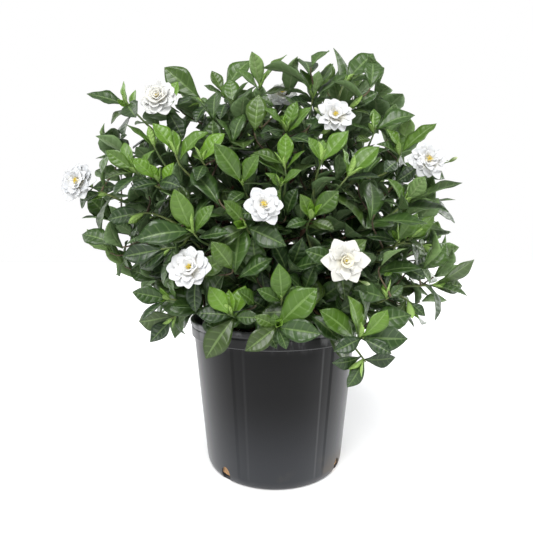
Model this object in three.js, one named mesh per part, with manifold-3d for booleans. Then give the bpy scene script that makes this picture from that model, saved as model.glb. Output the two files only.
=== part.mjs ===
// A gardenia shrub in bloom, growing in a plastic nursery pot.
// Millimetres, +Z up. The origin is the centre of the pot's flat base, and -Y is the front.

import * as THREE from "three";
import { mergeVertices } from "three/addons/utils/BufferGeometryUtils.js";
import Module from "manifold-3d";

const wasm = await Module();
wasm.setup();

// Driving sizes of the pot, the soil and the plant

const POT_HEIGHT = 241;
const RIM_RADIUS = 140; // outside of the rolled lip
const WALL_TOP_RADIUS = 133; // outside of the wall, just under the band below the lip
const WALL_FOOT_RADIUS = 112.3; // outside of the wall, just above the rounded foot
const FLOOR_THICK = 2.4;
const WALL_THICK = 2.3;
const STRIP_COUNT = 6; // shallow upright strips pressed into the wall
const STRIP_DEPTH = 1;
const STRIP_WIDTH_DEG = 9;
const FIRST_STRIP_DEG = -24.5;
const DRAINS_DEG = [-42, 60, 146, 232]; // the photograph shows the first two
const SOIL_TOP = 206;
const FIT_GAP = 0.35; // air between neighbouring pieces
const CROWN_RADIUS = 20; // the woody root crown that all stems rise from
const CROWN_FOOT = 150;
const CROWN_TOP = 214;
const CROWN_SIDES = 10;
const LEAF_THICK = 1.3; // at the midrib, thinning to the edge
const PETAL_THICK = 1.3;
const CLEARANCE = 4.2; // kept between blades, and between a blade and what it doesn't grow from
const SEED_STEP = 15485;

// The leafy shoots of the front, by name. Each has one to three tips, given by the place of the
// bud and its leaves. A leaf is given as seen from the front: the direction it points in, in
// degrees clockwise from straight up, how far it leans towards the front in degrees, its length,
// and how fresh it is, from 0, old and dark, to 1, new and bright. A tip with a value of shown
// turns the faces of its upright leaves to the front too.
const FRONT_SHOOTS = {
  top_left: [
    { at: [-114, -60, 581], leaves: [[-50, 10, 70, 0.35], [-115, 30, 40, 0.1], [-155, 40, 43, 0]] },
    { at: [-81, -30, 600], leaves: [[-25, 0, 41, 0.6], [40, 5, 65, 0.3], [-60, 10, 36, 0.4],
      [-160, 40, 50, 0], [140, 40, 54, 0.1]] },
  ],
  crown_left: [
    { at: [-23, -60, 602], leaves: [[-5, 20, 48, 0.2], [-20, -5, 62, 0.8], [40, 0, 60, 0.9],
      [-50, 5, 47, 0.4], [90, 30, 49, 0]] },
  ],
  crown_right: [
    { at: [57, -70, 585], leaves: [[-40, 10, 53, 0.4], [-20, -10, 46, 0.9], [10, 25, 35, 0.6],
      [30, -5, 56, 0.4], [55, 10, 60, 0.5], [-90, 30, 41, 0], [90, 35, 42, 0]] },
  ],
  top_right: [
    { at: [108, -50, 612], shown: 0.9, leaves: [[-12, -12, 72, 0.85], [60, 10, 56, 0.1], [42, -20, 76, 0.9]] },
    { at: [107, -90, 560], leaves: [[55, 10, 47, 0.4], [105, 20, 36, 0.4]] },
  ],
  right_shoulder: [
    { at: [143, -95, 528], leaves: [[70, 5, 58, 0.5], [-50, 30, 42, 0.3], [0, -10, 32, 0.5],
      [-105, 40, 34, 0.2]] },
    { at: [178, -105, 495], leaves: [[50, 5, 60, 0.75], [-25, 5, 40, 0.2], [-125, 40, 41, 0.2],
      [0, -20, 42, 0.9], [-65, 10, 37, 0.2]] },
  ],
  right_middle: [
    { at: [178, -135, 422], leaves: [[70, 10, 76, 0.4], [-30, 10, 54, 0.3], [-12, 5, 46, 0.6],
      [30, 40, 44, 0.3], [90, 15, 66, 0.4], [45, -10, 50, 0.4]] },
  ],
  upper_middle: [
    { at: [14, -125, 522], leaves: [[-50, 20, 41, 0.3], [45, 20, 48, 0.3], [-25, 0, 31, 0.9],
      [20, 5, 38, 0.9], [-100, 40, 44, 0], [110, 40, 45, 0]] },
  ],
  middle: [
    { at: [11, -150, 469], leaves: [[-45, 10, 48, 1], [10, -10, 45, 0.9], [30, 5, 38, 0.9],
      [-58, 0, 54, 0.7]] },
    { at: [6, -158, 442], leaves: [[-40, 30, 30, 0.4], [55, 30, 34, 0.4], [35, 0, 48, 0.8]] },
  ],
  middle_right: [
    { at: [60, -150, 473], leaves: [[-30, 5, 36, 0.9], [-5, -5, 41, 0.7], [40, 5, 52, 0.9],
      [135, 20, 62, 0.1]] },
    { at: [94, -158, 453], leaves: [[-5, 10, 36, 0.8], [45, 5, 54, 0.85], [85, 10, 43, 0.1]] },
  ],
  middle_left: [
    { at: [-138, -130, 490], leaves: [[-30, 5, 48, 0.8], [45, 5, 57, 0.85], [-10, -10, 39, 0.7]] },
    { at: [-100, -140, 475], leaves: [[40, 5, 46, 0.9], [-65, 10, 31, 0.2], [-165, 45, 35, 0.1]] },
  ],
  left_shoulder: [
    { at: [-168, -122, 498], leaves: [[-50, 5, 48, 0.6], [-15, -10, 39, 0.5], [30, 10, 35, 0.3]] },
    { at: [-194, -140, 464], leaves: [[-35, 5, 54, 0.8], [-52, 20, 41, 0.8], [30, 10, 39, 0.6],
      [-105, 30, 43, 0.1], [-140, 45, 52, 0]] },
  ],
  left_middle: [
    { at: [-159, -150, 450], leaves: [[-45, 20, 38, 1], [-15, 10, 29, 1], [25, 5, 35, 1],
      [105, 40, 44, 0.1], [-110, 40, 40, 0]] },
  ],
  centre_left: [
    { at: [-45, -158, 444], leaves: [[-35, 15, 60, 0.5], [35, 5, 46, 0.3], [-130, 40, 37, 0.1]] },
  ],
  left_face: [
    { at: [-107, -185, 381], leaves: [[-65, 15, 56, 0.6], [-20, 20, 55, 0.35], [35, 10, 43, 0.85],
      [-100, 20, 68, 0.15], [80, 10, 42, 0.2]] },
  ],
  left_side: [
    { at: [-186, -130, 406], leaves: [[-120, 15, 50, 0], [-100, -10, 52, 0.3]] },
    { at: [-153, -145, 356], leaves: [[-100, 5, 56, 0.5], [-130, 15, 52, 0.1], [-118, -15, 62, 0.2],
      [-155, 10, 56, 0]] },
    { at: [-171, -135, 375], leaves: [[-90, 5, 58, 0.6], [-112, 0, 54, 0.3], [-100, 30, 37, 0.1]] },
  ],
  left_low: [
    { at: [-148, -150, 290], leaves: [[-75, 25, 45, 0.3], [-130, 40, 44, 0.3], [-5, 30, 36, 0.1]] },
    { at: [-142, -140, 262], leaves: [[-105, 5, 68, 0.3], [-135, 15, 45, 0], [160, 0, 28, 0.3]] },
  ],
  over_rim_left: [
    { at: [-62, -172, 273], leaves: [[-35, 5, 44, 0.9], [-5, 15, 41, 0.9], [-85, 5, 45, 0.75],
      [65, 15, 41, 0.6], [20, -5, 43, 0.8], [-145, 5, 66, 0.05]] },
  ],
  over_rim_middle: [
    { at: [0, -182, 258], leaves: [[45, 10, 74, 0.35], [-125, 15, 49, 0.75], [95, 20, 56, 0.1],
      [155, 20, 31, 0.2], [-10, 40, 25, 0.9], [-70, 10, 34, 0.1]] },
    { at: [7, -166, 292], leaves: [[-5, 20, 50, 0.6], [55, 5, 34, 0.5], [-60, 20, 38, 0.2]] },
  ],
  over_rim_right: [
    { at: [110, -180, 244], leaves: [[-50, 10, 60, 0.8], [-15, 10, 58, 0.25], [40, 10, 48, 0.75],
      [115, 25, 40, 0.4], [-110, 20, 42, 0.4], [92, 0, 64, 0.3]] },
    { at: [116, -166, 210], leaves: [[-150, 0, 42, 0], [85, 5, 40, 0], [-100, 10, 40, 0]] },
  ],
  right_edge: [
    { at: [228, -115, 305], leaves: [[55, 10, 62, 0.3], [105, 15, 44, 0.3], [175, 10, 50, 0.2],
      [-35, 20, 32, 0.1], [92, -12, 52, 0.3]] },
    { at: [191, -120, 280], leaves: [[130, 20, 28, 0.1], [-145, 5, 32, 0]] },
  ],
  right_face: [
    { at: [165, -140, 368], leaves: [[-35, 0, 32, 0.9], [20, 10, 50, 0.15], [-80, 5, 44, 0.3],
      [-125, 20, 30, 0.1]] },
    { at: [183, -140, 371], leaves: [[45, 10, 43, 0.9], [-15, 10, 16, 1], [75, 5, 37, 0.1],
      [125, 30, 31, 0.5]] },
  ],
  right_inner: [
    { at: [210, -110, 362], leaves: [[155, 15, 45, 0.4], [95, 0, 28, 0.2]] },
    { at: [170, -130, 336], leaves: [[-60, 15, 37, 0.15], [-155, 20, 37, 0], [120, 20, 40, 0]] },
    { at: [149, -150, 291], leaves: [[-75, 10, 52, 0.1], [50, 0, 28, 0.1]] },
  ],
};

// The blooms, by name: the middle of the face, the way it faces, its width across and the number
// of petals in its layers, outermost first. Then come the leaves behind it, all on one whorl,
// and the other tips of the same shoot.
const BLOOMS = {
  upper_left: {
    centre: [-165, -112, 568], facing: [-0.15, -0.95, 0.25], across: 56, layers: [6, 6, 4],
    leaves: [[20, 0, 44, 0.2], [-60, 0, 40, 0.2], [150, 10, 50, 0]],
    tips: [{ at: [-216, -85, 565], leaves: [[-75, 10, 57, 0.3], [-10, 0, 34, 1],
      [140, 50, 60, 0.1], [15, -10, 38, 0.2], [-135, 20, 37, 0.6], [-170, 35, 52, 0]] }],
  },
  upper_right: {
    centre: [82, -118, 542], facing: [0, -0.96, 0.28], across: 53, layers: [6, 5, 3],
    leaves: [[60, 0, 44, 0.2], [-80, 0, 42, 0], [170, 10, 46, 0.6]],
    tips: [],
  },
  far_left: {
    centre: [-278, -120, 451], facing: [-0.25, -0.95, 0.15], across: 56, layers: [6, 5, 2],
    leaves: [[-150, 0, 34, 0.3], [-40, -10, 36, 0.4], [90, 10, 38, 0.3]],
    tips: [{ at: [-249, -104, 437], leaves: [[-125, 10, 37, 0.5], [-165, 0, 60, 0.1],
      [18, 30, 60, 0.4], [-45, -10, 46, 0.3]] }],
  },
  centre: {
    centre: [-16, -188, 413], facing: [0.05, -0.96, 0.25], across: 50, layers: [6, 4, 2],
    leaves: [[30, 10, 44, 0.1], [-60, 10, 40, 0.1], [160, 10, 46, 0.1]],
    tips: [{ at: [-40, -166, 389], leaves: [[-55, 15, 56, 0.4], [-120, 15, 58, 0.15],
      [40, 10, 20, 0.8], [115, 20, 58, 0.05]] }],
  },
  low_left: {
    centre: [-108, -198, 336], facing: [-0.1, -0.93, 0.35], across: 54, layers: [6, 5, 3],
    leaves: [[60, 10, 46, 0.1], [-70, 10, 44, 0], [175, 10, 48, 0.1]],
    tips: [],
  },
  low_right: {
    centre: [84, -198, 343], facing: [0.1, -0.98, 0.1], across: 62, layers: [6, 3, 2],
    leaves: [[50, 10, 46, 0.1], [-70, 10, 46, 0.1], [170, 10, 50, 0.1]],
    tips: [{ at: [46, -150, 399], leaves: [[-25, 20, 35, 0.3], [45, 20, 50, 0.35],
      [110, 20, 35, 0.15], [-105, 20, 34, 0]] }],
  },
  far_right: {
    centre: [208, -130, 479], facing: [0.08, -0.98, 0.15], across: 54, layers: [6, 5, 3],
    leaves: [[30, -10, 44, 0.4], [110, -5, 44, 0.2], [-100, 10, 44, 0.2]],
    tips: [],
  },
  crown: {
    centre: [12, -34, 600], facing: [0, -0.85, 0.5], across: 48, layers: [6, 4, 2],
    leaves: [[-60, 0, 44, 0.2], [70, 0, 46, 0.1], [180, 20, 40, 0.1]],
    tips: [],
  },
};

// The shoots that cover the sides and the back of the shrub stand in tiers, evenly spaced over
// an arc: the height of a tier, its radius, the number of shoots, and the arc in degrees.
const BACK_TIERS = [[296, 156, 3, 190], [412, 182, 4, 210], [520, 132, 3, 220]];
const BACK_TIPS = 3;
const BACK_TIP_SPREAD = 68;
const BACK_LEAF_LENGTH = 62;
const BACK_LEAVES = [{ count: 2, opening: 32, share: 0.7, fresh: 1 },
  { count: 3, opening: 66, share: 1, fresh: 0.4 }];

// Main limbs: the bearing from the crown in degrees, the outward reach and the height of the end.
const LIMBS = [[20, 96, 430], [75, 100, 440], [135, 100, 430], [195, 98, 430], [250, 96, 420],
  [305, 100, 430], [90, 12, 500]];

// A seeded generator, so that every build draws the same numbers.
function randomFrom(seed) {
  let state = seed >>> 0;
  return () => {
    state = (Math.imul(state, 1664525) + 1013904223) >>> 0;
    return state / 4294967296;
  };
}

const vec = (x, y, z) => new THREE.Vector3(x, y, z);
const along = (point, direction, distance) => point.clone().addScaledVector(direction, distance);
const radians = THREE.MathUtils.degToRad;

// Turns a closed geometry into a solid, and a solid back into a geometry.
function solidOf(geometry) {
  geometry.deleteAttribute("normal");
  geometry.deleteAttribute("uv");
  const merged = mergeVertices(geometry, 1e-4);
  return new wasm.Manifold(new wasm.Mesh({
    numProp: 3,
    vertProperties: merged.attributes.position.array,
    triVerts: new Uint32Array(merged.index.array),
  }));
}

// Joins solids that run into each other. A hollow sealed by the joint is filled.
function fused(solids) {
  const bodies = wasm.Manifold.union(solids).decompose();
  return bodies.reduce((best, body) => (body.volume() > best.volume() ? body : best));
}

function geometryOf(solid) {
  const mesh = solid.getMesh();
  const geometry = new THREE.BufferGeometry();
  geometry.setAttribute("position", new THREE.BufferAttribute(mesh.vertProperties, 3));
  geometry.setIndex(new THREE.BufferAttribute(mesh.triVerts, 1));
  const flat = geometry.toNonIndexed();
  flat.computeVertexNormals();
  return flat;
}

// A closed surface under construction. Its rings of corners run counter-clockwise as seen from
// the end that it grows towards.
class Surface {
  constructor() {
    this.corners = [];
    this.triangles = [];
  }

  ring(points) {
    const first = this.corners.length;
    this.corners.push(...points);
    return points.map((_, k) => first + k);
  }

  triangle(a, b, c) {
    if (a !== b && b !== c && c !== a) this.triangles.push(a, b, c);
  }

  // The side after corner k. Odd sides are split as the mirror image of even ones, so that the
  // two faces of a thin blade are split alike.
  side(from, to, k) {
    const next = (k + 1) % from.length;
    const [a, b, c, d] = [from[k], from[next], to[next], to[k]];
    if (k % 2 === 0) {
      this.triangle(a, b, c);
      this.triangle(a, c, d);
    } else {
      this.triangle(a, b, d);
      this.triangle(b, c, d);
    }
  }

  bridge(from, to) {
    for (let k = 0; k < from.length; k++) this.side(from, to, k);
  }

  closeAt(ring, point) {
    const [apex] = this.ring([point]);
    ring.forEach((corner, k) => this.triangle(corner, ring[(k + 1) % ring.length], apex));
  }

  closeFlat(ring) {
    for (let k = 1; k + 1 < ring.length; k++) this.triangle(ring[0], ring[k], ring[k + 1]);
  }

  solid() {
    const geometry = new THREE.BufferGeometry();
    geometry.setAttribute("position",
      new THREE.Float32BufferAttribute(this.corners.flatMap((p) => p.toArray()), 3));
    geometry.setIndex(this.triangles);
    return solidOf(geometry);
  }
}

// A stem runs through stations. Each has a point, a heading, a radius, the direction across the
// stem that its corners are counted from, and a turn of the corners from there.
function bend(start, leave, end, arrive, shares, pull = 0.36) {
  const reach = start.distanceTo(end) * pull;
  const curve = new THREE.CubicBezierCurve3(
    start, along(start, leave, reach), along(end, arrive, -reach), end);
  const headingAt = (share) => {
    if (share === 0) return leave;
    return share === 1 ? arrive : curve.getTangent(share);
  };
  return shares.map((share) => ({ point: curve.getPoint(share), heading: headingAt(share) }));
}

// Any direction square to an axis that stays put when the axis changes a little.
function squareTo(axis) {
  const guide = Math.abs(axis.z) < 0.92 ? vec(0, 0, 1) : vec(0, -1, 0);
  return guide.addScaledVector(axis, -guide.dot(axis)).normalize();
}

// Gives every station its direction across, carried back from the far end without twist.
function carryAcross(stations) {
  let across = squareTo(stations[stations.length - 1].heading);
  for (let i = stations.length - 1; i >= 0; i--) {
    const { heading } = stations[i];
    across = across.clone().addScaledVector(heading, -across.dot(heading)).normalize();
    stations[i].across = across;
  }
  return stations;
}

function outwardAt(station, angle) {
  const square = station.heading.clone().cross(station.across);
  return station.across.clone().multiplyScalar(Math.cos(angle))
    .addScaledVector(square, Math.sin(angle));
}

function cornersOf(station, sides) {
  return Array.from({ length: sides }, (_, k) => {
    const angle = station.turn + (2 * Math.PI * k) / sides;
    return along(station.point, outwardAt(station, angle), station.radius);
  });
}

// Which way the middle of a side faces.
function sideFacing(station, side, sides) {
  return outwardAt(station, station.turn + (2 * Math.PI * (side + 0.5)) / sides);
}

// Grows a stem through its stations from a root ring, or from a flat end. What a bud bears
// grows from the four corners of one side, between station at - 1 and station at.
function growStem(surface, root, stations, sides, buds) {
  let ring = root;
  stations.forEach((station, i) => {
    const next = surface.ring(cornersOf(station, sides));
    if (ring === null) {
      surface.closeFlat([...next].reverse());
    } else {
      const upper = i === 0 ? matched(surface, ring, next) : next;
      for (let k = 0; k < ring.length; k++) {
        const bud = buds.find(({ at, side }) => at === i && side === k);
        const after = (k + 1) % ring.length;
        if (bud) bud.grow(surface, [upper[k], ring[k], ring[after], upper[after]]);
        else surface.side(ring, upper, k);
      }
    }
    ring = next;
  });
  return ring;
}

// Turns the numbering of a ring to lie closest to its root ring. If the root has one corner more,
// the last corner counts twice.
function matched(surface, root, next) {
  const distance = (shift) => next.reduce((sum, _, k) => sum
    + surface.corners[root[k]].distanceTo(surface.corners[next[(k + shift) % next.length]]), 0);
  const shift = next.map((_, k) => k).sort((a, b) => distance(a) - distance(b))[0];
  return root.map((_, k) => next[(Math.min(k, next.length - 1) + shift) % next.length]);
}

// The pot and the soil share one set of bearings round the axis: close pairs at the edges of
// the pressed strips, and even steps between them.
const STRIP_EDGE_DEG = 1;
const STEPS_BETWEEN_STRIPS = 4;
function bearings() {
  const pitch = 360 / STRIP_COUNT;
  const plain = pitch - STRIP_WIDTH_DEG;
  const list = [];
  for (let s = 0; s < STRIP_COUNT; s++) {
    const start = FIRST_STRIP_DEG - STRIP_WIDTH_DEG / 2 + s * pitch;
    list.push([start, false], [start + STRIP_EDGE_DEG, true]);
    list.push([start + STRIP_WIDTH_DEG - STRIP_EDGE_DEG, true], [start + STRIP_WIDTH_DEG, false]);
    for (let k = 1; k < STEPS_BETWEEN_STRIPS; k++) {
      list.push([start + STRIP_WIDTH_DEG + (plain * k) / STEPS_BETWEEN_STRIPS, false]);
    }
  }
  return list;
}

// Turns a profile of [radius, height] about Z. Points of the profile marked as pressed move
// inwards at the strips. A bearing of 0 is the front, and it grows towards +X.
function turned(profile, pressed = () => false) {
  const stops = bearings();
  const lathe = new THREE.LatheGeometry(
    profile.map(([radius, height]) => new THREE.Vector2(radius, height)), stops.length);
  const place = lathe.attributes.position;
  for (let i = 0; i < place.count; i++) {
    const [bearing, inStrip] = stops[Math.floor(i / profile.length) % stops.length];
    const [radius, height] = profile[i % profile.length];
    const reachOut = radius - (inStrip && pressed(radius, height) ? STRIP_DEPTH : 0);
    const angle = radians(bearing);
    place.setXYZ(i, reachOut * Math.sin(angle), -reachOut * Math.cos(angle), height);
  }
  return solidOf(lathe);
}

function potSolid() {
  const foot = WALL_FOOT_RADIUS;
  const wall = WALL_TOP_RADIUS;
  const profile = [
    [0, 0], [foot - 9.3, 0], [foot - 3.3, 2.5], [foot, 9], [wall, 214],
    [wall + 3.6, 215], [wall + 4.2, 228.5], [wall + 2.7, 230], [RIM_RADIUS - 1.4, 233.5],
    [RIM_RADIUS, POT_HEIGHT - 2], [RIM_RADIUS - 2, POT_HEIGHT], [RIM_RADIUS - 5, POT_HEIGHT],
    [wall - WALL_THICK, 224], [foot - WALL_THICK, 10], [foot - 9.3, FLOOR_THICK],
    [0, FLOOR_THICK],
  ];
  const onWall = (radius, height) => height > 2 && height < 214.5 && radius > foot - 4
    && !profile.slice(12).some(([r, h]) => r === radius && h === height);
  let body = turned(profile, onWall);
  for (const bearing of DRAINS_DEG) body = body.subtract(drainCutter(bearing));
  return body;
}

// An oval drain hole where the wall meets the rounded foot. It slants down towards the axis, so
// it also opens through the foot.
const DRAIN_HALF_WIDTH = 9;
const DRAIN_HALF_HEIGHT = 11.5;
const DRAIN_MIDDLE = 11.5;
function drainCutter(bearing) {
  const shape = new THREE.CylinderGeometry(1, 1, 24, 8);
  shape.rotateY(Math.PI / 8);
  shape.scale(DRAIN_HALF_WIDTH, 1, DRAIN_HALF_HEIGHT);
  shape.rotateX(radians(-20));
  shape.translate(0, -(WALL_FOOT_RADIUS + 3), DRAIN_MIDDLE);
  shape.rotateZ(radians(bearing));
  return solidOf(shape);
}

function soilSolid() {
  const foot = WALL_FOOT_RADIUS - WALL_THICK - FIT_GAP;
  const slope = (WALL_TOP_RADIUS - WALL_FOOT_RADIUS) / (224 - 10);
  const edge = foot + slope * (SOIL_TOP - 4 - 10);
  const bed = turned([
    [0, FLOOR_THICK + FIT_GAP], [foot - 7.1, FLOOR_THICK + FIT_GAP], [foot, 10.5],
    [edge, SOIL_TOP - 4], [80, SOIL_TOP + 1], [0, SOIL_TOP + 3],
  ]);
  const hole = new THREE.CylinderGeometry(CROWN_RADIUS + FIT_GAP, CROWN_RADIUS + FIT_GAP,
    POT_HEIGHT - CROWN_FOOT, CROWN_SIDES);
  hole.rotateX(Math.PI / 2);
  hole.translate(0, 0, (POT_HEIGHT + CROWN_FOOT) / 2 - FIT_GAP);
  return bed.subtract(solidOf(hole));
}

// A blade is a leaf or a petal. It grows from base along direction, its upper face towards
// normal, bends by arch towards its underside and has its halves folded up along the midrib.
function midpoint(blade, t) {
  const turn = blade.arch * t;
  const flat = Math.abs(blade.arch) < 1e-3;
  const forward = flat ? t : Math.sin(turn) / blade.arch;
  const drop = flat ? 0 : (1 - Math.cos(turn)) / blade.arch;
  return along(along(blade.base, blade.direction, blade.length * forward),
    blade.normal, -blade.length * drop);
}

function lifted(blade, t) {
  const turn = blade.arch * t;
  return blade.direction.clone().multiplyScalar(Math.sin(turn))
    .addScaledVector(blade.normal, Math.cos(turn));
}

// A point on the blade: t runs from base to tip, s from the right edge (-1) to the left one (1).
function bladePoint(blade, t, s) {
  const half = blade.width * 0.5 * blade.outline(t);
  const side = blade.direction.clone().cross(blade.normal);
  const middle = along(midpoint(blade, t), side, s * half * Math.cos(blade.fold));
  return along(middle, lifted(blade, t), Math.abs(s) * half * Math.sin(blade.fold));
}

// Half-width along a leaf: wedge-shaped at the base, widest past the middle, a drawn-out tip.
const leafOutline = (t) => Math.max(Math.sin(Math.PI * t ** 1.15), 0) ** 1.05;
// Half-width along a petal: narrow at the base, widest near its round end.
const petalOutline = (t) => Math.max(Math.sin(Math.PI * t ** 1.9), 0) ** 0.7;

// Grows a blade from a root ring of four corners. Its section is a flat diamond.
function growBlade(surface, root, blade) {
  let ring = root;
  for (const t of blade.stations) {
    const up = lifted(blade, t);
    const middle = midpoint(blade, t);
    const next = surface.ring([bladePoint(blade, t, 1), along(middle, up, -blade.thick / 2),
      bladePoint(blade, t, -1), along(middle, up, blade.thick / 2)]);
    surface.bridge(ring, next);
    ring = next;
  }
  surface.closeAt(ring, midpoint(blade, 1));
}

// A blade given by the straight line from its base to its tip. It is arched above that line,
// and its upper face looks towards facing as far as the line allows.
function bladeOf(base, line, reach, facing, shape) {
  const up = facing.clone().addScaledVector(line, -facing.dot(line)).normalize();
  const side = line.clone().cross(up);
  const rolled = up.multiplyScalar(Math.cos(shape.roll)).addScaledVector(side, Math.sin(shape.roll));
  const half = shape.arch / 2;
  const direction = line.clone().multiplyScalar(Math.cos(half)).addScaledVector(rolled, Math.sin(half));
  const normal = rolled.multiplyScalar(Math.cos(half)).addScaledVector(line, -Math.sin(half));
  return { base, direction, normal, length: (reach * half) / Math.sin(half), ...shape };
}

// The account of what is placed, so that things stay clear of each other. Each thing placed is a
// cloud of points with a radius, inside one bounding ball. A blade may come nearer to its own
// piece the closer it is to its root: its room grows from 0 there to 1 further out. The root of
// a stem isn't compared with its own piece.
const placed = [];
function cloudOf(piece, radius, points, { rooms = points.map(() => 1), root = null } = {}) {
  const centre = points.reduce((sum, p) => sum.add(p), vec(0, 0, 0)).divideScalar(points.length);
  const ball = Math.max(...points.map((p) => p.distanceTo(centre))) + radius;
  return { piece, radius, points, rooms, root, centre, ball };
}

const KIN_CLEARANCE = 3;
const ROOT_LENGTH = 12;
function isClear(cloud) {
  const inRoot = (point) => cloud.root !== null && point.distanceTo(cloud.root) < ROOT_LENGTH;
  return placed.every((other) => {
    const reach = other.ball + cloud.ball + CLEARANCE;
    if (other.centre.distanceTo(cloud.centre) > reach) return true;
    const kin = other.piece === cloud.piece;
    return other.points.every((p, i) => cloud.points.every((q, k) => {
      const room = Math.min(other.rooms[i], cloud.rooms[k]);
      if (kin && (room === 0 || inRoot(p) || inRoot(q))) return true;
      return p.distanceTo(q) >= other.radius + cloud.radius + (kin ? KIN_CLEARANCE * room : CLEARANCE);
    }));
  });
}

const POINT_SPACING = 5;
const ROOM_STARTS = 0.05; // share of a blade's length
const ROOM_FULL = 0.45;
function bladeCloud(blade, piece) {
  const rows = Math.ceil(blade.length / POINT_SPACING);
  const columns = Math.max(1, Math.ceil(blade.width / 2 / POINT_SPACING));
  const points = [];
  const rooms = [];
  for (let i = 1; i <= rows; i++) {
    for (let k = -columns; k <= columns; k++) {
      points.push(bladePoint(blade, i / rows, k / columns));
      rooms.push(Math.min(1, Math.max(0, (i / rows - ROOM_STARTS) / (ROOM_FULL - ROOM_STARTS))));
    }
  }
  return cloudOf(piece, blade.thick / 2, points, { rooms });
}

function stemCloud(stations, piece) {
  const points = [stations[0].point];
  for (let i = 1; i < stations.length; i++) {
    const [from, to] = [stations[i - 1].point, stations[i].point];
    const steps = Math.ceil(from.distanceTo(to) / POINT_SPACING);
    for (let k = 1; k <= steps; k++) points.push(from.clone().lerp(to, k / steps));
  }
  const radius = Math.max(...stations.map((station) => station.radius));
  return cloudOf(piece, radius, points, { root: points[0] });
}

// The lip and the top of the wall, which leaves hang down past.
const RIM_POINT_STEP_DEG = 2.5;
function potClouds() {
  const clouds = [];
  for (let start = 0; start < 360; start += 30) {
    const points = [];
    for (let bearing = start; bearing < start + 30; bearing += RIM_POINT_STEP_DEG) {
      const outward = vec(Math.sin(radians(bearing)), -Math.cos(radians(bearing)), 0);
      for (let height = 150; height <= POT_HEIGHT; height += POINT_SPACING) {
        const radius = height > 210 ? RIM_RADIUS - 3 : WALL_TOP_RADIUS - (214 - height) * 0.1;
        points.push(outward.clone().multiplyScalar(radius).setZ(height));
      }
      for (let inside = 0; inside < 130; inside += POINT_SPACING * 2) {
        points.push(outward.clone().multiplyScalar(inside).setZ(SOIL_TOP));
      }
    }
    clouds.push(cloudOf("pot", 4, points));
  }
  return clouds;
}

// Shoots point away from the heart of the shrub, and upwards.
const HEART = vec(0, 0, 300);
const SHOOT_START = 0.6; // how far out from the heart a shoot leaves its branch
function outOf(point) {
  return vec(point.x, point.y, (point.z - 330) * 0.9 + 60).normalize();
}

function seenFromFront(clock, lean) {
  const [turn, tilt] = [radians(clock), radians(lean)];
  return vec(Math.sin(turn) * Math.cos(tilt), -Math.sin(tilt), Math.cos(turn) * Math.cos(tilt));
}

const SHOWN_TO_FRONT = vec(0, -0.7, 0.2); // how the leaves of the front turn their upper faces
function tipOf({ at, leaves, shown = 0 }) {
  const place = vec(...at);
  const wanted = leaves.map(([clock, lean, length, fresh]) =>
    ({ line: seenFromFront(clock, lean), length, fresh }));
  const axis = outOf(place);
  for (const { line } of wanted) axis.addScaledVector(line, 1 / wanted.length);
  return { at: place, axis: axis.normalize(), wanted, show: SHOWN_TO_FRONT, shown };
}

const BLOOM_DEPTH = 22; // from the face of a bloom down to the end of its stalk
function bloomTipOf(name, { centre, facing, across, layers, leaves }) {
  const bloom = { name, centre: vec(...centre), facing: vec(...facing).normalize(), across, layers };
  const at = along(bloom.centre, bloom.facing, -BLOOM_DEPTH);
  const wanted = leaves.map(([clock, lean, length, fresh]) =>
    ({ line: seenFromFront(clock, lean), length, fresh }));
  return { at, axis: bloom.facing, wanted, bloom, show: vec(0, 0, 0) };
}

function backTip(at, random) {
  const axis = outOf(at);
  const across = squareTo(axis);
  const square = axis.clone().cross(across);
  const length = BACK_LEAF_LENGTH * (0.95 + random() * 0.2);
  const fresh = random();
  const turn = random() * 2 * Math.PI;
  const wanted = BACK_LEAVES.flatMap(({ count, opening, share, fresh: freshShare }, whorl) =>
    Array.from({ length: count }, (_, k) => {
      const bearing = turn + ((k + whorl / 2) * 2 * Math.PI) / count + (random() - 0.5) * 0.5;
      const open = radians(opening) + (random() - 0.5) * 0.3;
      const line = axis.clone().multiplyScalar(Math.cos(open))
        .addScaledVector(across, Math.sin(open) * Math.cos(bearing))
        .addScaledVector(square, Math.sin(open) * Math.sin(bearing));
      return { line, length: length * share, fresh: fresh * freshShare };
    }));
  return { at, axis, wanted, show: vec(0, 0, 0) };
}

function backShoots() {
  return BACK_TIERS.flatMap(([height, radius, count, arc], tier) =>
    Array.from({ length: count }, (_, k) => {
      const random = randomFrom(SEED_STEP * (tier * 10 + k + 1));
      const bearing = radians(90 + arc * ((k + 0.5) / count - 0.5) + (random() - 0.5) * 8);
      const middle = vec(radius * Math.cos(bearing), radius * Math.sin(bearing), height);
      const out = outOf(middle);
      const across = squareTo(out);
      const square = out.clone().cross(across);
      const tips = Array.from({ length: BACK_TIPS }, (_, j) => {
        const angle = ((j + 0.25 + random() * 0.4) * 2 * Math.PI) / BACK_TIPS + tier;
        const spread = BACK_TIP_SPREAD * (0.85 + random() * 0.3);
        const at = along(along(middle, across, spread * Math.cos(angle)), square,
          spread * Math.sin(angle));
        return backTip(along(at, out, 34 + random() * 18), random);
      });
      return { name: `back_${tier + 1}_${k + 1}`, tips };
    }));
}

// Every shoot with its start, its twigs and their leaves.
function planShoots() {
  const shoots = [
    ...Object.entries(FRONT_SHOOTS).map(([name, tips]) => ({ name, tips: tips.map(tipOf) })),
    ...Object.entries(BLOOMS).map(([name, bloom]) =>
      ({ name: `bloom_${name}`, tips: [bloomTipOf(name, bloom), ...bloom.tips.map(tipOf)] })),
    ...backShoots(),
  ];
  shoots.forEach((shoot, i) => {
    const mean = vec(0, 0, 0);
    for (const tip of shoot.tips) mean.addScaledVector(tip.at, 1 / shoot.tips.length);
    shoot.start = HEART.clone().lerp(mean, SHOOT_START);
    shoot.leave = outOf(shoot.start);
    shoot.random = randomFrom(SEED_STEP * (i + 101));
  });
  return shoots;
}

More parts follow.
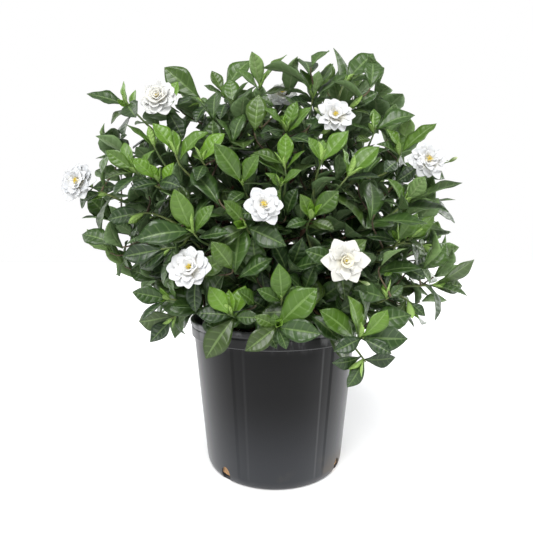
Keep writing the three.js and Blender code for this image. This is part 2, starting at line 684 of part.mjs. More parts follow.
// Woody limbs rise from the crown. At each joint of a limb any of its sides may bear a branch,
// and a branch runs to the start of each shoot.
const LIMB_SIDES = 6;
const LIMB_FOOT_RADIUS = 7;
const LIMB_TOP_RADIUS = 3;
const JOINT_SHARES = [0.36, 0.52, 0.68, 0.84, 0.97];
const JOINT_HALF = 2.6;
const BRANCH_SHARES = [0.36, 0.7, 1];
const BRANCH_RADIUS = 2.6;
const BRANCH_SIDES = 4;
const TWIG_RADIUS = 1.8;
const TWIG_SIDES = 3;
function planLimbs() {
  return LIMBS.map(([bearing, outward, height]) => {
    const [x, y] = [Math.cos(radians(bearing)), Math.sin(radians(bearing))];
    const foot = vec(x * 9, y * 9, CROWN_TOP - 5);
    const end = vec(x * outward, y * outward, height);
    const leave = vec(x * 0.35, y * 0.35, 1).normalize();
    const arrive = end.clone().sub(vec(0, 0, 260)).normalize();
    const half = JOINT_HALF / foot.distanceTo(end);
    const shares = [0, 0.18, ...JOINT_SHARES.flatMap((share) => [share - half, share + half]), 1];
    const stations = bend(foot, leave, end, arrive, shares);
    stations.forEach((station, i) => {
      station.radius = LIMB_FOOT_RADIUS + (LIMB_TOP_RADIUS - LIMB_FOOT_RADIUS) * shares[i] ** 0.7;
      station.turn = 0;
    });
    carryAcross(stations);
    const joints = JOINT_SHARES.flatMap((_, k) =>
      Array.from({ length: LIMB_SIDES }, (_, side) => ({ at: 3 + 2 * k, side, branch: null })));
    return { stations, joints };
  });
}

function branchFrom(limb, { at, side }, shoot) {
  const middle = limb.stations[at - 1].point.clone().lerp(limb.stations[at].point, 0.5);
  const { radius, heading } = limb.stations[at];
  const facing = sideFacing(limb.stations[at], side, LIMB_SIDES);
  const root = along(middle, facing, radius * 0.8);
  const leave = facing.clone().addScaledVector(heading, 0.7).normalize();
  const stations = bend(root, leave, along(shoot.start, shoot.leave, -FIT_GAP), shoot.leave,
    BRANCH_SHARES, 0.3);
  stations.forEach((station, i) => {
    station.radius = BRANCH_RADIUS + (TWIG_RADIUS - BRANCH_RADIUS) * BRANCH_SHARES[i];
    station.turn = 0;
  });
  return carryAcross(stations);
}

// Each shoot takes the free joint side with the shortest and straightest way to its start that
// is clear of the wood placed before.
function planBranches(limbs, shoots) {
  for (const shoot of shoots) {
    const ways = limbs.flatMap((limb) => limb.joints.filter(({ branch }) => !branch)
      .map((joint) => {
        const aim = shoot.start.clone().sub(limb.stations[joint.at].point);
        const facing = sideFacing(limb.stations[joint.at], joint.side, LIMB_SIDES);
        const cost = aim.length() * (1.6 - aim.clone().normalize().dot(facing))
          + 1.5 * Math.max(0, -aim.z);
        return { limb, joint, cost };
      }));
    ways.sort((a, b) => a.cost - b.cost);
    for (const { limb, joint } of ways) {
      const stations = branchFrom(limb, joint, shoot);
      const cloud = stemCloud(stations, "wood");
      if (!isClear(cloud)) continue;
      joint.branch = stations;
      placed.push(cloud);
      break;
    }
  }
}

function woodSolid(limbs) {
  const crown = new THREE.CylinderGeometry(CROWN_RADIUS, CROWN_RADIUS, CROWN_TOP - CROWN_FOOT,
    CROWN_SIDES);
  crown.rotateX(Math.PI / 2);
  crown.translate(0, 0, (CROWN_TOP + CROWN_FOOT) / 2);
  return fused([solidOf(crown), ...limbs.map(({ stations, joints }) => {
    const surface = new Surface();
    const buds = joints.filter(({ branch }) => branch).map(({ at, side, branch }) => ({ at, side,
      grow: (target, root) => target.closeFlat(growStem(target, root, branch, BRANCH_SIDES, [])) }));
    surface.closeFlat(growStem(surface, null, stations, LIMB_SIDES, buds));
    return surface.solid();
  })]);
}

// A twig bends from its start to its neck and then runs straight to the bud. Leaves stand on
// whorls along the straight stretch, and the side twigs of a shoot leave its first twig at forks.
const WHORLS_BELOW = [2.6, 9, 17]; // distances below the bud
const WHORL_HALF = 1.2;
const NECK_BELOW = 22;
const FORK_SHARES = [0.4, 0.68];
const FORK_HALF = 1.6;
const TIP_RADIUS = 1.4;
const BUD_LENGTH = 5;
const CALYX_LENGTH = 8;
const CALYX_RADIUS = 2.6;
function planTwig(start, leave, tip, forks, grown) {
  const neck = along(tip.at, tip.axis, -NECK_BELOW);
  const span = start.distanceTo(neck);
  const forkShares = FORK_SHARES.slice(0, forks)
    .flatMap((share) => [share - FORK_HALF / span, share + FORK_HALF / span]);
  const shares = forks > 0 ? [...forkShares, 1] : [0.6, 1];
  if (!grown) shares.unshift(0);
  const stations = bend(start, leave, neck, tip.axis, shares);
  stations.forEach((station) => Object.assign(station, { radius: TWIG_RADIUS, turn: tip.turn }));
  for (const whorl of [...tip.whorls].reverse()) {
    for (const below of [whorl.below + WHORL_HALF, whorl.below - WHORL_HALF]) {
      stations.push({ point: along(tip.at, tip.axis, -below), heading: tip.axis,
        radius: TIP_RADIUS, turn: whorl.turn });
    }
    whorl.at = stations.length - 1;
  }
  if (tip.bloom) {
    stations.push({ point: along(tip.at, tip.axis, CALYX_LENGTH), heading: tip.axis,
      radius: CALYX_RADIUS, turn: tip.turn });
  }
  return carryAcross(stations);
}

// Hands out the sides of a tip's whorls to its leaves. Each leaf takes the free side that faces
// its own way best, the most upright leaves on the uppermost whorl.
const turnBetween = (a, b) => Math.acos(Math.cos(a - b));
const LEVEL_COST = 0.5; // radians of turn that a leaf puts up with to stay on its own level
function assignWhorls(tip) {
  const across = squareTo(tip.axis);
  const square = tip.axis.clone().cross(across);
  for (const leaf of tip.wanted) {
    leaf.bearing = Math.atan2(leaf.line.dot(square), leaf.line.dot(across));
    leaf.opening = Math.acos(leaf.line.dot(tip.axis));
  }
  const leaves = [...tip.wanted].sort((a, b) => a.opening - b.opening);
  tip.turn = leaves[0].bearing - Math.PI / TWIG_SIDES;
  const belows = tip.bloom ? WHORLS_BELOW.slice(2) : WHORLS_BELOW;
  const whorls = belows.map((below, i) =>
    ({ below, turn: tip.turn + ((i % 2) * Math.PI) / TWIG_SIDES, sides: [null, null, null], at: 0 }));
  const seats = whorls.flatMap(({ turn, sides }, level) => sides.map((_, side) =>
    ({ level, side, faces: turn + (2 * Math.PI * (side + 0.5)) / TWIG_SIDES })));
  leaves.forEach((leaf, rank) => {
    const ideal = (rank / leaves.length) * (whorls.length - 1);
    const cost = ({ level, faces }) =>
      turnBetween(faces, leaf.bearing) + LEVEL_COST * Math.abs(level - ideal);
    const free = seats.filter(({ level, side }) => !whorls[level].sides[side]);
    const [{ level, side }] = free.sort((a, b) => cost(a) - cost(b));
    whorls[level].sides[side] = leaf;
  });
  tip.whorls = whorls.filter((whorl) => whorl.sides.some((leaf) => leaf));
}

// Blooms. The corolla is a short funnel with layers of petals, and the stamens stand in its
// middle. The calyx that holds it belongs to the shoot.
const HUB_SIDES = 6;
const HUB_FOOT = -8.4; // heights along the axis, from the middle of the face
const LAYER_HEIGHT = 1.5;
const FUNNEL_RADII = [2.6, 3.2, 5];
const LAYERS = [
  { opening: 84, length: 1, width: 0.8, arch: 0.4, fold: 0.02, stations: [0.4, 0.66, 0.88] },
  { opening: 60, length: 0.8, width: 0.72, arch: 0.1, fold: 0.1, stations: [0.5, 0.84] },
  { opening: 30, length: 0.56, width: 0.56, arch: -0.5, fold: 0.2, stations: [0.5, 0.84] },
];
const PETAL_ROLL = -0.2; // each petal tucks one edge under its neighbour
function planBloom(bloom) {
  const { centre, facing, across, layers } = bloom;
  const random = randomFrom(SEED_STEP * across + bloom.name.length);
  const heights = [-BLOOM_DEPTH + CALYX_LENGTH + FIT_GAP, HUB_FOOT - 2, HUB_FOOT];
  const stations = heights.map((height, i) =>
    ({ point: along(centre, facing, height), heading: facing, radius: FUNNEL_RADII[i], turn: 0 }));
  bloom.petals = [];
  layers.forEach((count, layer) => {
    const shape = LAYERS[layer];
    const height = HUB_FOOT + LAYER_HEIGHT * (layer + 1);
    stations.push({ point: along(centre, facing, height), heading: facing,
      radius: FUNNEL_RADII[2] - layer * 0.6, turn: 0 });
    for (let k = 0; k < count; k++) {
      const side = Math.round((k * HUB_SIDES) / count) % HUB_SIDES;
      const bearing = (2 * Math.PI * (side + 0.5 + (layer % 2) * 0.5)) / HUB_SIDES
        + (random() - 0.5) * 0.16;
      const open = radians(shape.opening + (k % 2) * 5 + (random() - 0.5) * 5);
      const reach = across * 0.5 * shape.length * (0.96 + random() * 0.08);
      bloom.petals.push({ at: stations.length - 1, side, bearing, open, reach, shape });
    }
  });
  bloom.stations = carryAcross(stations);
  for (const petal of bloom.petals) {
    const hub = bloom.stations[petal.at];
    const outward = outwardAt(hub, petal.bearing);
    const line = facing.clone().multiplyScalar(Math.cos(petal.open))
      .addScaledVector(outward, Math.sin(petal.open));
    const base = along(along(hub.point, sideFacing(hub, petal.side, HUB_SIDES), hub.radius * 0.8),
      facing, -LAYER_HEIGHT / 2);
    const { width, arch, fold, stations } = petal.shape;
    petal.blade = bladeOf(base, line, petal.reach - 3, facing.clone().addScaledVector(outward, -0.3), {
      width: petal.reach * width, arch, fold, roll: PETAL_ROLL, outline: petalOutline,
      thick: PETAL_THICK, stations,
    });
  }
}

function corollaSolid(bloom) {
  const surface = new Surface();
  const buds = bloom.petals.map(({ at, side, blade }) =>
    ({ at, side, grow: (target, root) => growBlade(target, root, blade) }));
  surface.closeFlat(growStem(surface, null, bloom.stations, HUB_SIDES, buds));
  return surface.solid();
}

const STAMEN_SIDES = 5;
const STAMEN_PROFILE = [[0, 1.6], [1.4, 1.9], [4, 2], [7, 0.9]]; // height, radius
const ANTHER_REACH = 2.6;
function stamenSolid(bloom) {
  const top = bloom.stations[bloom.stations.length - 1];
  const stations = carryAcross(STAMEN_PROFILE.map(([height, radius]) =>
    ({ point: along(top.point, top.heading, height + FIT_GAP), heading: top.heading, radius, turn: 0 })));
  const surface = new Surface();
  const buds = Array.from({ length: STAMEN_SIDES }, (_, side) => {
    const { point, heading } = stations[2];
    const end = along(along(point, sideFacing(stations[2], side, STAMEN_SIDES), 2 + ANTHER_REACH),
      heading, 1);
    return { at: 2, side, grow: (target, root) => target.closeAt(root, end) };
  });
  surface.closeFlat(growStem(surface, null, stations, STAMEN_SIDES, buds));
  return surface.solid();
}

// Places one wanted leaf. If its way is blocked it is turned a little and shortened, and after
// some tries it is left out.
const TRIES = 8;
const LEAF_WIDTH = 0.45;
const LARGE_LEAF = 56;
const LEAST_OPENING = 0.42; // radians between a leaf and its twig
const MOST_SIDEWAYS = 1.2; // radians between the way a leaf points and the side it grows from
function placeLeaf(shoot, tip, whorl, side) {
  const { random } = shoot;
  const leaf = whorl.sides[side];
  const station = tip.stations[whorl.at];
  const outward = sideFacing(station, side, TWIG_SIDES);
  const base = along(along(station.point, tip.axis, -WHORL_HALF), outward, TIP_RADIUS * 0.8);
  const turned = Math.min(1, Math.max(tip.shown ?? 0, (leaf.opening - 0.4) * 1.6));
  const facing = tip.axis.clone().addScaledVector(outward, -0.35).addScaledVector(tip.show, turned);
  for (let attempt = 0; attempt < TRIES; attempt++) {
    const stray = 0.13 * attempt;
    const line = vec(leaf.line.x + (random() - 0.5) * 2 * stray,
      leaf.line.y + (random() - 0.5) * 2 * stray, leaf.line.z + (random() - 0.5) * 2 * stray);
    const opening = line.normalize().angleTo(tip.axis);
    if (opening < LEAST_OPENING) line.addScaledVector(outward, LEAST_OPENING - opening).normalize();
    const sideways = line.clone().addScaledVector(tip.axis, -line.dot(tip.axis));
    if (sideways.angleTo(outward) > MOST_SIDEWAYS) continue;
    const reach = leaf.length * (1 - attempt * 0.03);
    const blade = bladeOf(base, line, reach, facing, {
      width: reach * LEAF_WIDTH * (0.92 + random() * 0.16),
      arch: (0.35 + random() * 0.5) * Math.min(1, opening ** 2),
      fold: 0.15 + random() * 0.25, roll: (random() - 0.5) * 0.5, outline: leafOutline,
      thick: LEAF_THICK, stations: reach < LARGE_LEAF ? [0.4, 0.74] : [0.3, 0.58, 0.84],
    });
    const cloud = bladeCloud(blade, shoot.name);
    if (!isClear(cloud)) continue;
    placed.push(cloud);
    leaf.blade = blade;
    return;
  }
}

// The buds of a twig: its leaves, and at its forks the side twigs of the shoot.
function leafBuds(tip) {
  return tip.whorls.flatMap(({ at, sides }) => sides
    .map((leaf, side) => ({ at, side, blade: leaf?.blade }))
    .filter(({ blade }) => blade)
    .map(({ at, side, blade }) =>
      ({ at, side, grow: (surface, root) => growBlade(surface, root, blade) })));
}

function growTwig(surface, root, tip, buds) {
  const ring = growStem(surface, root, tip.stations, TWIG_SIDES, [...leafBuds(tip), ...buds]);
  if (tip.bloom) surface.closeFlat(ring);
  else surface.closeAt(ring, along(tip.at, tip.axis, BUD_LENGTH));
}

function shootSolid(shoot) {
  const [first, ...others] = shoot.tips;
  const surface = new Surface();
  const buds = others.map((tip) => ({ ...tip.fork,
    grow: (target, root) => growTwig(target, root, tip, []) }));
  growTwig(surface, null, first, buds);
  return surface.solid();
}

// Plans the twigs of a shoot. A side twig starts from the side of the first twig that faces its
// own tip best and leaves it a clear way.
function planTwigs(shoot) {
  const [first, ...others] = shoot.tips;
  for (const tip of shoot.tips) assignWhorls(tip);
  first.stations = planTwig(shoot.start, shoot.leave, first, others.length, false);
  placed.push(stemCloud(first.stations, shoot.name));
  others.forEach((tip, i) => {
    const at = 2 + 2 * i;
    const station = first.stations[at];
    const aim = tip.at.clone().sub(station.point).normalize();
    const ways = [0, 1, 2].map((side) => ({ side, facing: sideFacing(station, side, TWIG_SIDES) }));
    ways.sort((a, b) => b.facing.dot(aim) - a.facing.dot(aim));
    const twigs = ways.map(({ side, facing }) => {
      const start = along(station.point, facing, TWIG_RADIUS * 1.2);
      const leave = facing.clone().addScaledVector(aim, 0.8).normalize();
      const whorls = tip.whorls.map((whorl) => ({ ...whorl }));
      const stations = planTwig(start, leave, { ...tip, whorls }, 0, true);
      return { fork: { at, side }, whorls, stations, cloud: stemCloud(stations, shoot.name) };
    });
    const { fork, whorls, stations, cloud } = twigs.find((twig) => isClear(twig.cloud)) ?? twigs[0];
    Object.assign(tip, { fork, whorls, stations });
    placed.push(cloud);
  });
}

// Materials
const finish = (color, roughness) => new THREE.MeshStandardMaterial({ color, roughness, metalness: 0 });
const potPlastic = finish(0x2e2f31, 0.45);
const soilMix = finish(0x4a3324, 0.95);
const bark = finish(0x6b4a38, 0.85);
const matureLeaf = finish(0x2c5a2a, 0.4);
const youngLeaf = finish(0x5f9e2f, 0.45);
const petalWhite = finish(0xf7f5ee, 0.6);
const stamenYellow = finish(0xe2b32e, 0.6);

const gardenia = new THREE.Group();
function addPiece(name, solid, material) {
  const mesh = new THREE.Mesh(geometryOf(solid), material);
  mesh.name = name;
  gardenia.add(mesh);
}

const shoots = planShoots();
const limbs = planLimbs();
for (const limb of limbs) placed.push(stemCloud(limb.stations, "wood"));
planBranches(limbs, shoots);
placed.push(...potClouds());
addPiece("pot", potSolid(), potPlastic);
addPiece("soil", soilSolid(), soilMix);
addPiece("woody_stems", woodSolid(limbs), bark);

for (const shoot of shoots) {
  planTwigs(shoot);
  for (const tip of shoot.tips) {
    if (!tip.bloom) continue;
    planBloom(tip.bloom);
    const { name, petals } = tip.bloom;
    for (const { blade } of petals) placed.push(bladeCloud(blade, `petals_${name}`));
    addPiece(`petals_${name}`, corollaSolid(tip.bloom), petalWhite);
    addPiece(`stamens_${name}`, stamenSolid(tip.bloom), stamenYellow);
  }
}

for (const shoot of shoots) {
  for (const tip of shoot.tips) {
    for (const whorl of tip.whorls) {
      whorl.sides.forEach((leaf, side) => {
        if (leaf) placeLeaf(shoot, tip, whorl, side);
      });
    }
  }
}
for (const shoot of shoots) {
  const leaves = shoot.tips.flatMap((tip) => tip.wanted);
  const fresh = leaves.reduce((sum, leaf) => sum + leaf.fresh, 0) / leaves.length;
  addPiece(`leaves_${shoot.name}`, shootSolid(shoot), fresh > 0.5 ? youngLeaf : matureLeaf);
}

export default gardenia;
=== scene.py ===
# A gardenia shrub in bloom, growing in a plastic nursery pot.
import random
from collections import defaultdict, namedtuple
from itertools import product
from math import atan2, cos, degrees, hypot, pi, radians, sin, sqrt, tau

import bmesh
import bpy
from mathutils import Matrix, Vector, noise
from mathutils.kdtree import KDTree


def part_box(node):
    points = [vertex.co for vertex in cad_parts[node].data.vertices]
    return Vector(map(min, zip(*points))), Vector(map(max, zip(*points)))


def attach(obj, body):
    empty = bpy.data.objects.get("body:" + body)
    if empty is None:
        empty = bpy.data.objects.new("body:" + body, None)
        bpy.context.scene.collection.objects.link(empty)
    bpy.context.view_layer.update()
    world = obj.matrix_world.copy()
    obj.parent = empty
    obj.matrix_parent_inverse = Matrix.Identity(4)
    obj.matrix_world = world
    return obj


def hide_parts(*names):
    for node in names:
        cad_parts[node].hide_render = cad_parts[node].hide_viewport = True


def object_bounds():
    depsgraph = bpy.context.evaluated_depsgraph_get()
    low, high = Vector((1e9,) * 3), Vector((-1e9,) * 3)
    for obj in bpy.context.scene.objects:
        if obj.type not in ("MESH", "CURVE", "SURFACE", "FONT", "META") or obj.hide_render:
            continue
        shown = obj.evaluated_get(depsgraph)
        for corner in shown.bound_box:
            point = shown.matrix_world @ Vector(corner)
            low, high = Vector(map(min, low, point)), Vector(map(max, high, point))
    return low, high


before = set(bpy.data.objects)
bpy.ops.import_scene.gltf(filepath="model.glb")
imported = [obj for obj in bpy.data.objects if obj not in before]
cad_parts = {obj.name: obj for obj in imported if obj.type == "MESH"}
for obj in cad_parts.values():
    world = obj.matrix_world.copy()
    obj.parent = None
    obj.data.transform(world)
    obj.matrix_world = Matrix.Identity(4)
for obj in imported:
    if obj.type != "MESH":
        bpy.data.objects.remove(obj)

cad_low, cad_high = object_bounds()

# The camera stands in front of the shrub, level with its middle, and looks slightly down.
CAMERA_PLACE = (-0.013, -0.720, 0.368)
CAMERA_DIP = radians(3.5)
CAMERA_LENS = 29.04  # millimetres, on a sensor 36 mm wide


def new_object(name, data):
    """Puts data in the scene as an object."""
    placed = bpy.data.objects.new(name, data)
    bpy.context.collection.objects.link(placed)
    return placed


camera_data = bpy.data.cameras.new("camera")
camera_data.lens = CAMERA_LENS
camera = new_object("camera", camera_data)
camera.location = CAMERA_PLACE
camera.rotation_euler = (radians(90) - CAMERA_DIP, 0, 0)
bpy.context.scene.camera = camera

# The nursery pot is one shell of charcoal plastic, injection moulded with a rolled lip over a
# raised band, six shallow strips pressed into its tapering wall, and a rounded foot that four
# drain holes slant through.
POT_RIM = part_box("pot")[1].x
POT_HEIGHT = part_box("pot")[1].z
WALL_TOP = 0.133
WALL_FOOT = 0.1123
WALL_THICK = 0.0023
FLOOR_THICK = 0.0024
FOOT_HEIGHT = 0.0095  # where the rounded foot runs into the wall
BAND_FOOT = 0.2145
BAND_TOP = 0.2302
LIP_FOOT = 0.2335
POT_STEPS = 360  # one step for each degree round the axis
STRIPS = 6
STRIP_PITCH = 360 / STRIPS  # degrees, as are the next two
STRIP_CENTRE = -24.5  # from the front, growing towards +X
STRIP_HALF = 4.5
STRIP_DEPTH = 0.0011
STRIP_FOOT = 0.007
STRIP_RUN = 0.017  # the height over which a strip deepens from its foot
DRAIN_BEARINGS = (-42, 60, 146, 232)  # degrees
DRAIN_MIDDLE = 0.0115
DRAIN_HALF_WIDTH = 0.009
DRAIN_HALF_HEIGHT = 0.0115
DRAIN_SLANT = radians(70)
DRAIN_REACH = 0.024
POT_CHARCOAL = (0.005, 0.005, 0.0055, 1)
POT_PALER_LOW = (0.030, 0.032, 0.036, 1)
POT_SHEEN_GREY = (0.20, 0.20, 0.205, 1)
POT_SCUFF_AND_HIGHLIGHT = (0.16, 0.16, 0.165, 1)
POT_DUST = (0.17, 0.135, 0.10, 1)


def add_piece(name, shape, *materials):
    """Turns a bmesh into a smooth-shaded object."""
    data = bpy.data.meshes.new(name)
    shape.to_mesh(data)
    shape.free()
    for material in materials:
        data.materials.append(material)
    data.shade_smooth()
    return new_object(name, data)


def turned(outline, steps):
    """Turns an outline of (radius, height, rounding) about Z into a closed shape."""
    shape = bmesh.new()
    corners = [shape.verts.new((radius, 0, height)) for radius, height, _ in outline]
    for corner, after in zip(corners, corners[1:]):
        shape.edges.new((corner, after))
    for corner, (_, _, rounding) in zip(corners, outline):
        if rounding:
            bmesh.ops.bevel(shape, geom=[corner], offset=rounding, offset_type="OFFSET", segments=4,
                            profile=0.5, affect="VERTICES", material=-1)
    bmesh.ops.spin(shape, geom=shape.verts[:] + shape.edges[:], axis=(0, 0, 1), angle=tau,
                   steps=steps, use_merge=True)
    bmesh.ops.remove_doubles(shape, verts=shape.verts, dist=1e-6)
    bmesh.ops.recalc_face_normals(shape, faces=shape.faces)
    return shape


def ramp(value, start, end):
    """Rises smoothly from 0 at start to 1 at end."""
    share = min(max((value - start) / (end - start), 0), 1)
    return share * share * (3 - 2 * share)


pot_shape = turned([
    (0, 0, 0), (WALL_FOOT - 0.0045, 0, 0.004), (WALL_FOOT, FOOT_HEIGHT, 0.004),
    (WALL_FOOT + 0.0015, 0.024, 0), (WALL_TOP - 0.0008, BAND_FOOT - 0.0095, 0),
    (WALL_TOP, BAND_FOOT, 0.0004), (WALL_TOP + 0.0038, BAND_FOOT + 0.0006, 0.0006),
    (WALL_TOP + 0.0044, BAND_TOP - 0.0017, 0.0008), (WALL_TOP + 0.0028, BAND_TOP, 0.0005),
    (POT_RIM - 0.0012, LIP_FOOT, 0.0008), (POT_RIM, POT_HEIGHT - 0.002, 0.0012),
    (POT_RIM - 0.0012, POT_HEIGHT, 0.0006), (POT_RIM - 0.005, POT_HEIGHT, 0.0012),
    (WALL_TOP - WALL_THICK, 0.224, 0.001), (WALL_FOOT - WALL_THICK, 0.010, 0.003),
    (WALL_FOOT - 0.0093, FLOOR_THICK, 0.002), (0, FLOOR_THICK, 0),
], POT_STEPS)
for corner in pot_shape.verts:
    place = corner.co
    radius = hypot(place.x, place.y)
    if radius < WALL_FOOT - 0.001 or not STRIP_FOOT < place.z < BAND_FOOT - 0.0003:
        continue
    rising = (place.z - FOOT_HEIGHT) / (BAND_FOOT - FOOT_HEIGHT)
    if radius < WALL_FOOT + (WALL_TOP - WALL_FOOT) * rising - 0.0012:
        continue
    bearing = degrees(atan2(place.x, -place.y))
    off_centre = abs((bearing - STRIP_CENTRE + STRIP_PITCH / 2) % STRIP_PITCH - STRIP_PITCH / 2)
    pressed = STRIP_DEPTH * (1 - ramp(off_centre, STRIP_HALF - 1, STRIP_HALF))
    place.xy *= 1 - pressed * ramp(place.z, STRIP_FOOT, STRIP_FOOT + STRIP_RUN) / radius

pot = add_piece("nursery_pot", pot_shape)
drains = bmesh.new()
for bearing in DRAIN_BEARINGS:
    place = (Matrix.Rotation(radians(bearing), 4, "Z")
             @ Matrix.Translation((0, -WALL_FOOT - 0.003, DRAIN_MIDDLE))
             @ Matrix.Rotation(DRAIN_SLANT, 4, "X")
             @ Matrix.Diagonal((DRAIN_HALF_WIDTH, DRAIN_HALF_HEIGHT, 1, 1)))
    bmesh.ops.create_cone(drains, cap_ends=True, segments=32, radius1=1, radius2=1,
                          depth=DRAIN_REACH, matrix=place)
cutter = add_piece("drain_cutter", drains)
cut = pot.modifiers.new("drain holes", "BOOLEAN")
cut.object = cutter
bpy.context.view_layer.update()
cut_pot = bpy.data.meshes.new_from_object(pot.evaluated_get(bpy.context.evaluated_depsgraph_get()))
pot.modifiers.clear()
pot.data = cut_pot
bpy.data.objects.remove(cutter)
pot.data.shade_smooth()
pot.data.set_sharp_from_angle(angle=radians(38))


def new_material(name, rough=0.5, specular=0.5, **settings):
    """A material with its even settings, its node tree and its shader."""
    material = bpy.data.materials.new(name)
    material.use_nodes = True
    shader = material.node_tree.nodes["Principled BSDF"]
    for socket, value in {"Roughness": rough, "Specular IOR Level": specular, **settings}.items():
        shader.inputs[socket].default_value = value
    return material, material.node_tree, shader


def add(tree, kind, inputs=(), **settings):
    """Adds a node. Each input is given a value or the socket that feeds it."""
    node = tree.nodes.new("ShaderNode" + kind)
    for name, value in settings.items():
        setattr(node, name, value)
    for socket, value in dict(inputs).items():
        if isinstance(value, bpy.types.NodeSocket):
            tree.links.new(value, node.inputs[socket])
        else:
            node.inputs[socket].default_value = value
    return node


def mixed(tree, factor, one, other):
    """One colour where the factor is 0, and the other at 1."""
    return add(tree, "Mix", {0: factor, 6: one, 7: other}, data_type="RGBA").outputs[2]


def worked(tree, operation, *values):
    """The result of a Math node."""
    return add(tree, "Math", dict(enumerate(values)), operation=operation).outputs[0]


def times(tree, one, other):
    return worked(tree, "MULTIPLY", one, other)


def plus(tree, one, other):
    return worked(tree, "ADD", one, other)


def object_place(tree):
    """The place of a point in its object."""
    return add(tree, "TexCoord").outputs["Object"]


def split(tree, vector):
    return add(tree, "SeparateXYZ", {0: vector}).outputs


def feed(shader, socket, value):
    """Links a value to one of a shader's sockets."""
    shader.id_data.links.new(value, shader.inputs[socket])


def noisy(tree, scale, detail=3, stretch=(1, 1, 1), place=None):
    """Noise over the object, drawn out along an axis where its stretch is small."""
    place = place or object_place(tree)
    placed = add(tree, "Mapping", {"Vector": place, "Scale": stretch}).outputs[0]
    return add(tree, "TexNoise", {"Vector": placed, "Scale": scale, "Detail": detail}).outputs["Fac"]


def stepped(tree, value, start, end):
    """Rises smoothly from 0 at start to 1 at end."""
    return add(tree, "MapRange", {"Value": value, "From Min": start, "From Max": end},
               interpolation_type="SMOOTHSTEP").outputs[0]


def falling(tree, value, start, end):
    """Falls smoothly from 1 at start to 0 at end."""
    return worked(tree, "SUBTRACT", 1.0, stepped(tree, value, start, end))


def raise_relief(shader, strength, distance, relief):
    """Bumps the surface where the relief is high."""
    bump = add(shader.id_data, "Bump", {"Strength": strength, "Distance": distance, "Height": relief})
    feed(shader, "Normal", bump.outputs[0])


pot_plastic, tree, shader = new_material("pot plastic", specular=0.16)
height = split(tree, object_place(tree))["Z"]
cloudy = noisy(tree, 14)
scratched = stepped(tree, noisy(tree, 60, 4, (1, 1, 0.4)), 0.48, 0.66)
near_lip = stepped(tree, height, BAND_FOOT - 0.01, POT_HEIGHT - 0.004)
near_foot = falling(tree, height, 0.004, 0.05)
scuffs_and_painted_highlight = times(tree, near_lip, plus(tree, 0.12, scratched))
# Painted highlight: a thin pale line along the band's lower edge, where the rounded ledge catches the
# light. It shares its pale grey with the real scuffs near the lip.
from_edge = worked(tree, "ABSOLUTE", worked(tree, "SUBTRACT", height, BAND_FOOT + 0.0006))
painted_edge_highlight = falling(tree, from_edge, 0.0004, 0.0015)
scuffs_and_painted_highlight = worked(tree, "MAXIMUM", scuffs_and_painted_highlight, times(tree, painted_edge_highlight, 0.6))
dusty = times(tree, near_foot, stepped(tree, cloudy, 0.56, 0.72))
# The plastic turns paler towards the bottom.
paler_low = falling(tree, height, 0.0, 0.15)
colour = mixed(tree, paler_low, POT_CHARCOAL, POT_PALER_LOW)
# Painted sheen: the colour turns paler grey where the wall is seen edge-on, in place of the bright studio
# sides reflected there.
grazing_sheen = add(tree, "LayerWeight", {"Blend": 0.35}).outputs["Facing"]
colour = mixed(tree, worked(tree, "POWER", grazing_sheen, 2.0), colour, POT_SHEEN_GREY)
# Real scuffs near the lip and the painted edge highlight lighten the colour.
colour = mixed(tree, scuffs_and_painted_highlight, colour, POT_SCUFF_AND_HIGHLIGHT)
colour = mixed(tree, times(tree, dusty, 0.5), colour, POT_DUST)
feed(shader, "Base Color", colour)
rough = plus(tree, 0.27, times(tree, cloudy, 0.16))
feed(shader, "Roughness", plus(tree, rough, times(tree, dusty, 0.3)))
relief = plus(tree, noisy(tree, 700, 2), times(tree, cloudy, 3.0))
raise_relief(shader, 0.25, 0.0006, relief)
pot.data.materials.append(pot_plastic)
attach(pot, "root")
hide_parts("pot")

# The soil is a bed of composted bark and peat, packed round the root crown, which stands in a
# plain hole in it. Its top is uneven and lies below the lip.
SOIL_SWELL = 0.006
SOIL_EDGE_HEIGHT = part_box("soil")[1].z - SOIL_SWELL - 0.001
SOIL_FOOT_GAP = 0.0004
CROWN_HOLE = 0.02035
CROWN_FOOT = 0.1497
SOIL_STEPS = 120
SOIL_RINGS = 24
SOIL_DARK = (0.030, 0.018, 0.011, 1)
SOIL_TAN = (0.42, 0.25, 0.13, 1)


def soil_top(x, y):
    """Height of the bed: a little higher round the crown, and uneven."""
    heaps = noise.noise(Vector((x, y, 0)) * 42) * 0.0022
    lumps = noise.noise(Vector((x, y, 4)) * 150) * 0.0012
    return SOIL_EDGE_HEIGHT + SOIL_SWELL * (1 - hypot(x, y) / WALL_TOP) + heaps + lumps


soil_wall_foot = WALL_FOOT - WALL_THICK - SOIL_FOOT_GAP
soil_wall_top = soil_wall_foot + (WALL_TOP - WALL_FOOT) * SOIL_EDGE_HEIGHT / (POT_HEIGHT - 0.017)
soil_bottom = FLOOR_THICK + SOIL_FOOT_GAP
soil_rings = [(CROWN_HOLE + (soil_wall_top - CROWN_HOLE) * ring / SOIL_RINGS, SOIL_EDGE_HEIGHT, 0)
              for ring in range(SOIL_RINGS + 1)]
soil_shape = turned([
    (0, CROWN_FOOT, 0), (CROWN_HOLE, CROWN_FOOT, 0), *soil_rings, (soil_wall_foot, 0.0105, 0),
    (soil_wall_foot - 0.0071, soil_bottom, 0), (0, soil_bottom, 0),
], SOIL_STEPS)
for corner in soil_shape.verts:
    if corner.co.z > SOIL_EDGE_HEIGHT - 0.001:
        corner.co.z = soil_top(corner.co.x, corner.co.y)

